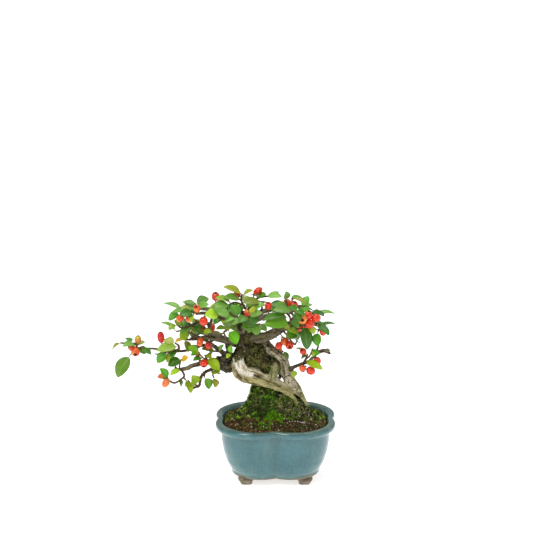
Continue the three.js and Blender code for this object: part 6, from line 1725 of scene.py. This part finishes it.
# %% [markdown]
# A stem's radius is the CAD part's, thinned towards its end, with a swelling where each leaf scar was. The
# young wood is redder and darker than the branches. A leaf whose base is off its stem hangs on a stalk of
# its own.
# %% Stems, stalks and all the sprays
STEM_TINT = paint(96, 78, 54)
STALK_TINT = paint(150, 150, 84)
STEM_RADII = [1.2, 0.85]
SIDE_RADII = [0.8, 0.8, 0.6]
KNOT_GAP = 4.5


def stem_tube(path_points, radii, random):
    """A stem: the spline through its points, its radius mixed from end to end and swollen in places."""
    path = spline(path_points, max(8, 5 * (len(path_points) - 1)))
    share = np.linspace(0, 1, len(path))
    radius = np.interp(share, np.linspace(0, 1, len(radii)), radii)
    length = np.linalg.norm(np.diff(path, axis=0), axis=1).sum()
    knots = np.cos(2 * math.pi * share * length / KNOT_GAP + random.uniform(0, 6)) ** 6
    tints = STEM_TINT * (0.75 + 0.5 * random.uniform(0, 1, (len(path), 1)))
    return tube_shell(path, radius * (0.86 + 0.34 * knots), 7, tint=tints[:, None])


leaf_total = 0
worst_gap = 0.0
for number, (name, spray) in enumerate(SPRAYS.items()):
    random = np.random.default_rng(100 + number)
    stems = []
    paths = []
    for i, rows in enumerate(spray["stems"]):
        points = seen(rows)
        if i:
            points[0] = nearest_on(paths, points[0])
        radii = SIDE_RADII if i else spray.get("radius", STEM_RADII)
        stems.append(stem_tube(points, radii, random))
        paths.append(spline(points, max(len(rows) - 1, 2)))
    if "grow" in spray:
        leaves = grown_leaves(*spray["grow"], paths)
    else:
        leaves = [placed_leaf(row, paths) for row in spray["leaves"]]
    letters = spray.get("tones", BACK_TONES)
    corners = node_points(name)
    blades = []
    for (base, foot, width, choices), letter in zip(leaves, letters):
        (tip, normal), gap = taken(choices, corners)
        worst_gap = max(worst_gap, gap)
        tint = paint(*TONES[letter]) * random.uniform(0.74, 1.6) * random.uniform(0.92, 1.08, 3)
        on_stem = np.linalg.norm(foot - base) < STALKED_FROM
        start = foot + 0.12 * (tip - foot) if on_stem else base
        elbow = (foot + start) / 2 + 0.12 * np.linalg.norm(start - foot) * normal
        end = start + 0.06 * (tip - start)
        stalk = spline([foot, elbow, end], 6)
        stems.append(tube_shell(stalk, np.linspace(0.42, 0.3, len(stalk)), 6, tint=STALK_TINT))
        blades.append(leaf_shell(start, tip, width, normal, tint, random))
    leaf_total += len(blades)
    piece(name + "_fine", [(leaf.material, blades), (bark.material, stems)], [name])
print("leaves:", leaf_total, "and the furthest from its CAD corner:", round(worst_gap, 3), "mm")

# %% [markdown]
# The berries are little pomes, egg-shaped, on short stalks, red with orange and yellow where they are less
# ripe, and with yellow patches as painted highlights. The body is turned about its own direction: its radius
# is a rounded oval in s, the share from stalk to eye, and the eye is pushed in and ringed by five dry sepals.
# A bunch's first row is where its stalk leaves the twig. Each other row is a berry: [across, up, depth,
# length, width] of its middle and body, and the way it points as [across, up, depth].
# %% Berries
BUNCHES = {
  "berries_far_left": [[-124, 124.5, 1], [-124.5, 132.5, 0, 7.5, 6, 0, 1, 0],
    [-130.5, 124.7, -3, 6.5, 6, -1, 0.2, -0.3], [-127, 120.5, -6, 8, 8, 0, -0.3, -1]],
  "berry_far_left_upright": [[-102, 122.8, -5.5], [-103.7, 134.5, -5, 10.5, 6.5, -0.1, 1, 0]],
  "berry_left_low": [[-96.5, 93, -17], [-100, 90.6, -19, 8.5, 6.5, -0.5, -0.8, -0.3]],
  "berry_left_branch": [[-64, 110, -9], [-65.2, 109.6, -16, 7.5, 7.2, 0, -0.7, -0.8]],
  "berries_left_twig": [[-64.4, 131.9, -7.2], [-68.5, 130, -13, 8.5, 6, -0.3, -0.8, -0.5],
    [-61, 126.6, -12, 6.2, 6, 0.3, -1, -0.1]],
  "berry_left_small": [[-72, 125, -8.5], [-70.5, 118.5, -12, 5, 4.6, 0, -1, -0.3]],
  "berry_crown_left": [[-69, 157, -31.5], [-71, 161.8, -36, 7, 6.8, -0.2, 0.7, -0.6]],
  "berry_crown_left_low": [[-62, 157, -30], [-65, 150, -33, 8, 7.6, -0.1, -1, -0.2]],
  "berries_crown_left_end": [[-81, 158.4, -29.6], [-78, 152.4, -33, 7, 6.4, 0.3, -1, -0.3],
    [-86.5, 152.6, -31, 6.5, 6, -0.8, -0.6, 0]],
  "berries_crown_top_left": [[-55, 162, 1.4], [-54, 173.5, 3, 8, 7.4, 0, 1, -0.2],
    [-50.5, 167, -1, 6.5, 6, 0.6, 0.7, -0.3]],
  "berry_crown_front": [[-32, 150, -36.5], [-37, 151.8, -42, 7.5, 7, -0.7, 0.4, -0.6]],
  "berry_crown_top": [[-30, 168, 8], [-34.5, 175.5, 9, 7, 6.6, -0.2, 1, 0]],
  "berry_crown_centre": [[-28.6, 149, -27], [-25, 158, -31, 7.2, 7, 0.2, 1, -0.3]],
  "berry_apex": [[-20.6, 166, 4.7], [-16, 178.6, 5, 9, 6, 0.8, 0.6, 0]],
  "berries_crown_right": [[19, 156, -7], [16.5, 165, -10, 8, 7.6, 0.2, 1, -0.4],
    [10.5, 167.5, -4, 7, 6.5, -0.6, 0.8, 0]],
  "berry_crown_right_inner": [[-6, 155.5, -23], [-6.5, 164.5, -26, 7, 6.6, 0, 1, -0.3]],
  "berries_crown_right_low": [[3, 157.6, -26.4], [1.5, 153.2, -32, 6.5, 6, -0.3, -0.8, -0.6],
    [6.5, 153.4, -31, 6.5, 6, 0.4, -0.9, -0.3]],
  "berries_right_cluster": [[25, 149.6, -13.8], [24, 152, -21, 9.5, 9, 0, 0.1, -1],
    [29.3, 155.4, -15, 8, 7.4, 0.2, 1, 0], [36.5, 153, -14, 8, 7.4, 1, 0.1, 0],
    [31, 147.4, -17, 8, 7.6, 0.3, -1, -0.2]],
  "berry_right_end": [[39, 146.3, -13], [42.8, 139.6, -15, 6.5, 6, 0.3, -1, 0]],
  "berries_right_middle": [[3, 139.9, -8], [3, 126.5, -13, 7, 6.5, -0.5, -0.8, -0.2],
    [9, 130.4, -13, 7.4, 7, 0.2, -1, 0], [12.6, 127, -19, 8, 7.5, 0.1, -0.2, -1]],
  "berry_right_low_high": [[27.6, 115.4, -14.5], [25, 121, -18, 6.5, 6, -0.4, 0.6, -0.6]],
  "berry_right_low_end": [[34.5, 116, -14], [38, 112, -17, 7, 6.5, 0.3, -0.9, -0.3]],
  "berries_right_low": [[22.5, 108.4, -13.3], [32, 102.5, -15, 8, 7.5, 0.9, -0.3, -0.1],
    [24.6, 104.6, -18, 6.5, 6, 0.3, -0.7, -0.6]],
  "berries_back_left": [[-60, 138.6, 26.5], [-58, 144, 33, 8, 7.4, 0, 0.6, 0.7],
    [-66, 143, 32, 7, 6.6, -0.5, 0.8, 0.3]],
  "berry_back_crown": [[-33, 157.8, 40], [-36, 150, 49, 8, 7.4, -0.2, -1, 0.4]],
  "berries_back_right": [[22, 149, 29], [27, 145, 34, 7.6, 7, 0.5, -0.5, 0.6],
    [21, 142.6, 33, 7, 6.6, -0.1, -1, 0.3]],
  "berry_back_high": [[2, 161.6, 22.5], [-1, 162, 32, 7.6, 7, -0.2, 0.3, 1]],
}
BERRY_TONES = {  # by bunch, a letter for each berry
    "berries_far_left": "yoo", "berry_far_left_upright": "c", "berry_left_low": "p",
    "berries_left_twig": "oc", "berry_crown_left": "o", "berries_crown_top_left": "cr",
    "berries_right_cluster": "rrrr", "berries_crown_left_end": "or", "berry_crown_left_low": "r",
}
# The second colour is the yellow of the unripe side and also of the painted highlights.
BERRY_TINTS = {  # the ripe side and the side that is still yellow
    "r": ((228, 56, 20), (238, 138, 50)), "c": ((208, 26, 20), (220, 74, 40)),
    "o": ((232, 90, 30), (232, 178, 66)), "y": ((222, 128, 46), (204, 192, 62)),
    "p": ((234, 124, 58), (226, 192, 86)),
}
OTHER_BERRIES = "rorr"
BERRY_RINGS = 20
BERRY_AROUND = 22
BERRY_ROUND = 2.3  # the power of its rounded oval
SEPALS = 5
SHIFTS = (0, -2, 2, -4, 4, -6, 6, -9, 9)  # along the line of sight
STARTS = np.arange(0.6, 6, 0.2)  # of the stalk, from the twig's middle line
FORK_REACH = 2.4
STALK_RADIUS = 0.55
s = 0.975 * np.sin(np.linspace(0, 1, BERRY_RINGS) * math.pi / 2) ** 1.25
berry_oval = (1 - np.abs(2 * np.clip(s, 0.006, 1) - 1) ** BERRY_ROUND) ** (1 / BERRY_ROUND)
BERRY_ALONG = np.concatenate([s, [0.955, 0.93]])
BERRY_OUT = np.concatenate([berry_oval[:-1], [0.42, 0.3, 0.08]])


def berry_shells(end, way, length, width, letter, random):
    """A berry's body and its sepals: end plus way times s, and a circle of the profile's radius."""
    side = unit(np.cross(way, RING_START))
    front = np.cross(way, side)
    angle = around(BERRY_AROUND)
    circle = side * np.cos(angle)[:, None] + front * np.sin(angle)[:, None]
    dents = 1 + 0.025 * np.cos(angle * SEPALS + random.uniform(0, 6)) * (BERRY_ALONG[:, None] > 0.5)
    out = (BERRY_OUT[:, None] * dents * width / 2)[..., None]
    rings = end + way * (BERRY_ALONG * length)[:, None, None] + circle[None] * out
    ripe, yellow = (paint(*tint) for tint in BERRY_TINTS[letter])
    blush = noise(rings, width * 0.9, seed=int(random.integers(99)))
    # Yellow at the less ripe eye end, and yellow patches of noise as painted highlights.
    yellow_and_highlight_share = eased(BERRY_ALONG[:, None] + 0.5 * blush, 0.8, 1.3) * 0.75 + 0.3 * eased(blush, 0.1, 0.8)
    body = ringed(rings, tint=blended(ripe, yellow, np.clip(yellow_and_highlight_share, 0, 1)[..., None]))
    eye = end + way * 0.965 * length
    turn = np.arange(SEPALS)[:, None] * 2 * math.pi / SEPALS + random.uniform(0, 1)
    outwards = side * np.cos(turn) + front * np.sin(turn)
    sepals = spikes(
        eye + outwards * 0.2 * width, unit(way * 0.25 - outwards), np.full(SEPALS, 0.2 * width),
        np.full(SEPALS, 0.16 * width), np.tile(paint(70, 50, 34), (SEPALS, 1)),
    )
    heart_place = (eye - way * 0.03 * length)[None]
    heart = lumps(heart_place, np.array([0.26 * width]), paint(44, 34, 24)[None], random, jitter=0.05)
    return body, [sepals, heart]


def bunch_places(name, twig, rows):
    """Where the CAD part seated a bunch: the shift along the line of sight and the start of its stalk
    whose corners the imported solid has. Gives the berries' stalk ends and ways, and the stalk's foot and
    fork."""
    corners = node_points(name)

    def off(points):
        return np.linalg.norm(corners[None] - np.atleast_2d(points)[:, None], axis=2).min(1).max()

    ways = unit(rows[:, [5, 7, 6]])
    half = ways * rows[:, 3:4] / 2
    middles = [seen(rows[:, :3] + [0, 0, shift]) for shift in SHIFTS]
    ends = min(middles, key=lambda points: off(points + half)) - half
    outward = unit(ends.mean(0) - twig)
    start = min(STARTS, key=lambda reach: off(twig + outward * reach))
    return ends, ways, twig + outward * start, twig + outward * (start + FORK_REACH)


skin = Finish("berry_skin", Roughness=0.24, Coat_Weight=0.25, Coat_Roughness=0.12, Subsurface_Weight=0.08)
skin_fleck = skin.between(skin.noise(700, 3), 0.3, 0.7, 0.88, 1.12)
skin_dots = skin.between(skin.speckle(1500), 0.0, 0.16, 1.18, 1.0)
skin.look("Base Color", skin.mix(1.0, skin.flecked(skin_fleck), skin_dots, "MULTIPLY"))
skin.bump(skin.noise(500, 2), 0.15, 0.0003)
berry_total = 0
for number, (name, (twig, *rows)) in enumerate(BUNCHES.items()):
    random = np.random.default_rng(400 + number)
    rows = np.array(rows, float)
    ends, ways, foot, fork = bunch_places(name, seen(twig), rows)
    letters = BERRY_TONES.get(name, OTHER_BERRIES)
    bodies = []
    woody = []
    for i, (row, end, way) in enumerate(zip(rows, ends, ways)):
        line = [foot, end] if len(ends) == 1 else [foot, fork, end] if i == 0 else [fork, end]
        path = spline([*line, end + 0.12 * row[3] * way], 5 * len(line))
        radii = STALK_RADIUS * np.linspace(1, 1.25, len(path))
        woody.append(tube_shell(path, radii, 7, tint=paint(122, 112, 60)))
        body, dry = berry_shells(end, way, row[3], row[4], letters[i], random)
        bodies.append(body)
        woody += dry
    berry_total += len(bodies)
    piece(name + "_fine", [(skin.material, bodies), (bark.material, woody)], [name])
print("berries:", berry_total)

# %% [markdown]
# The tree stands on a plain white floor in soft white light, as in a light tent: a large soft lamp above
# and in front to the left, a weaker one from the right, one above and behind, and a bright even sky. The
# floor is not part of the object.
# %% Floor and light
FLOOR_HALF = 9.0
floor_corners = [(x * FLOOR_HALF, y * FLOOR_HALF, 0) for x, y in ((-1, -1), (1, -1), (1, 1), (-1, 1))]
floor_mesh = bpy.data.meshes.new("floor")
floor_mesh.from_pydata(floor_corners, [], [(0, 1, 2, 3)])
floor = bpy.data.objects.new("floor", floor_mesh)
floor.location.z = POT_MIDDLE[2] - 0.0001
bpy.context.scene.collection.objects.link(floor)
paper = Finish("paper", Roughness=0.8, Specular_IOR_Level=0.1, Emission_Strength=0.62)
paper.look("Base Color", paint(250, 250, 250))
paper.look("Emission Color", paint(255, 255, 255))
floor_mesh.materials.append(paper.material)

world = bpy.data.worlds.new("tent")
world.use_nodes = True
sky = world.node_tree.nodes["Background"]
sky.inputs["Color"].default_value = (1, 1, 1, 1)
sky.inputs["Strength"].default_value = 0.42
bpy.context.scene.world = world
LAMPS = {  # place in metres from the pot, size in metres and power in watts
    "key": ((-0.55, -0.75, 1.1), 0.6, 6.5), "fill": ((0.9, -0.6, 0.7), 0.8, 1.8),
    "top": ((0.0, 0.35, 1.2), 0.7, 4.0),
}
for name, (place, size, watts) in LAMPS.items():
    lamp = bpy.data.lights.new(name, "AREA")
    lamp.shape = "DISK"
    lamp.size = size
    lamp.energy = watts
    lamp_object = bpy.data.objects.new(name, lamp)
    lamp_object.location = Vector(POT_MIDDLE) + Vector(place)
    aim = Vector(POT_MIDDLE) + Vector((0, 0, 0.1)) - lamp_object.location
    lamp_object.rotation_euler = aim.to_track_quat("-Z", "Y").to_euler()
    bpy.context.scene.collection.objects.link(lamp_object)
bpy.context.scene.view_settings.view_transform = "Standard"
bpy.context.scene.view_settings.look = "None"
print("lamps:", len(LAMPS))
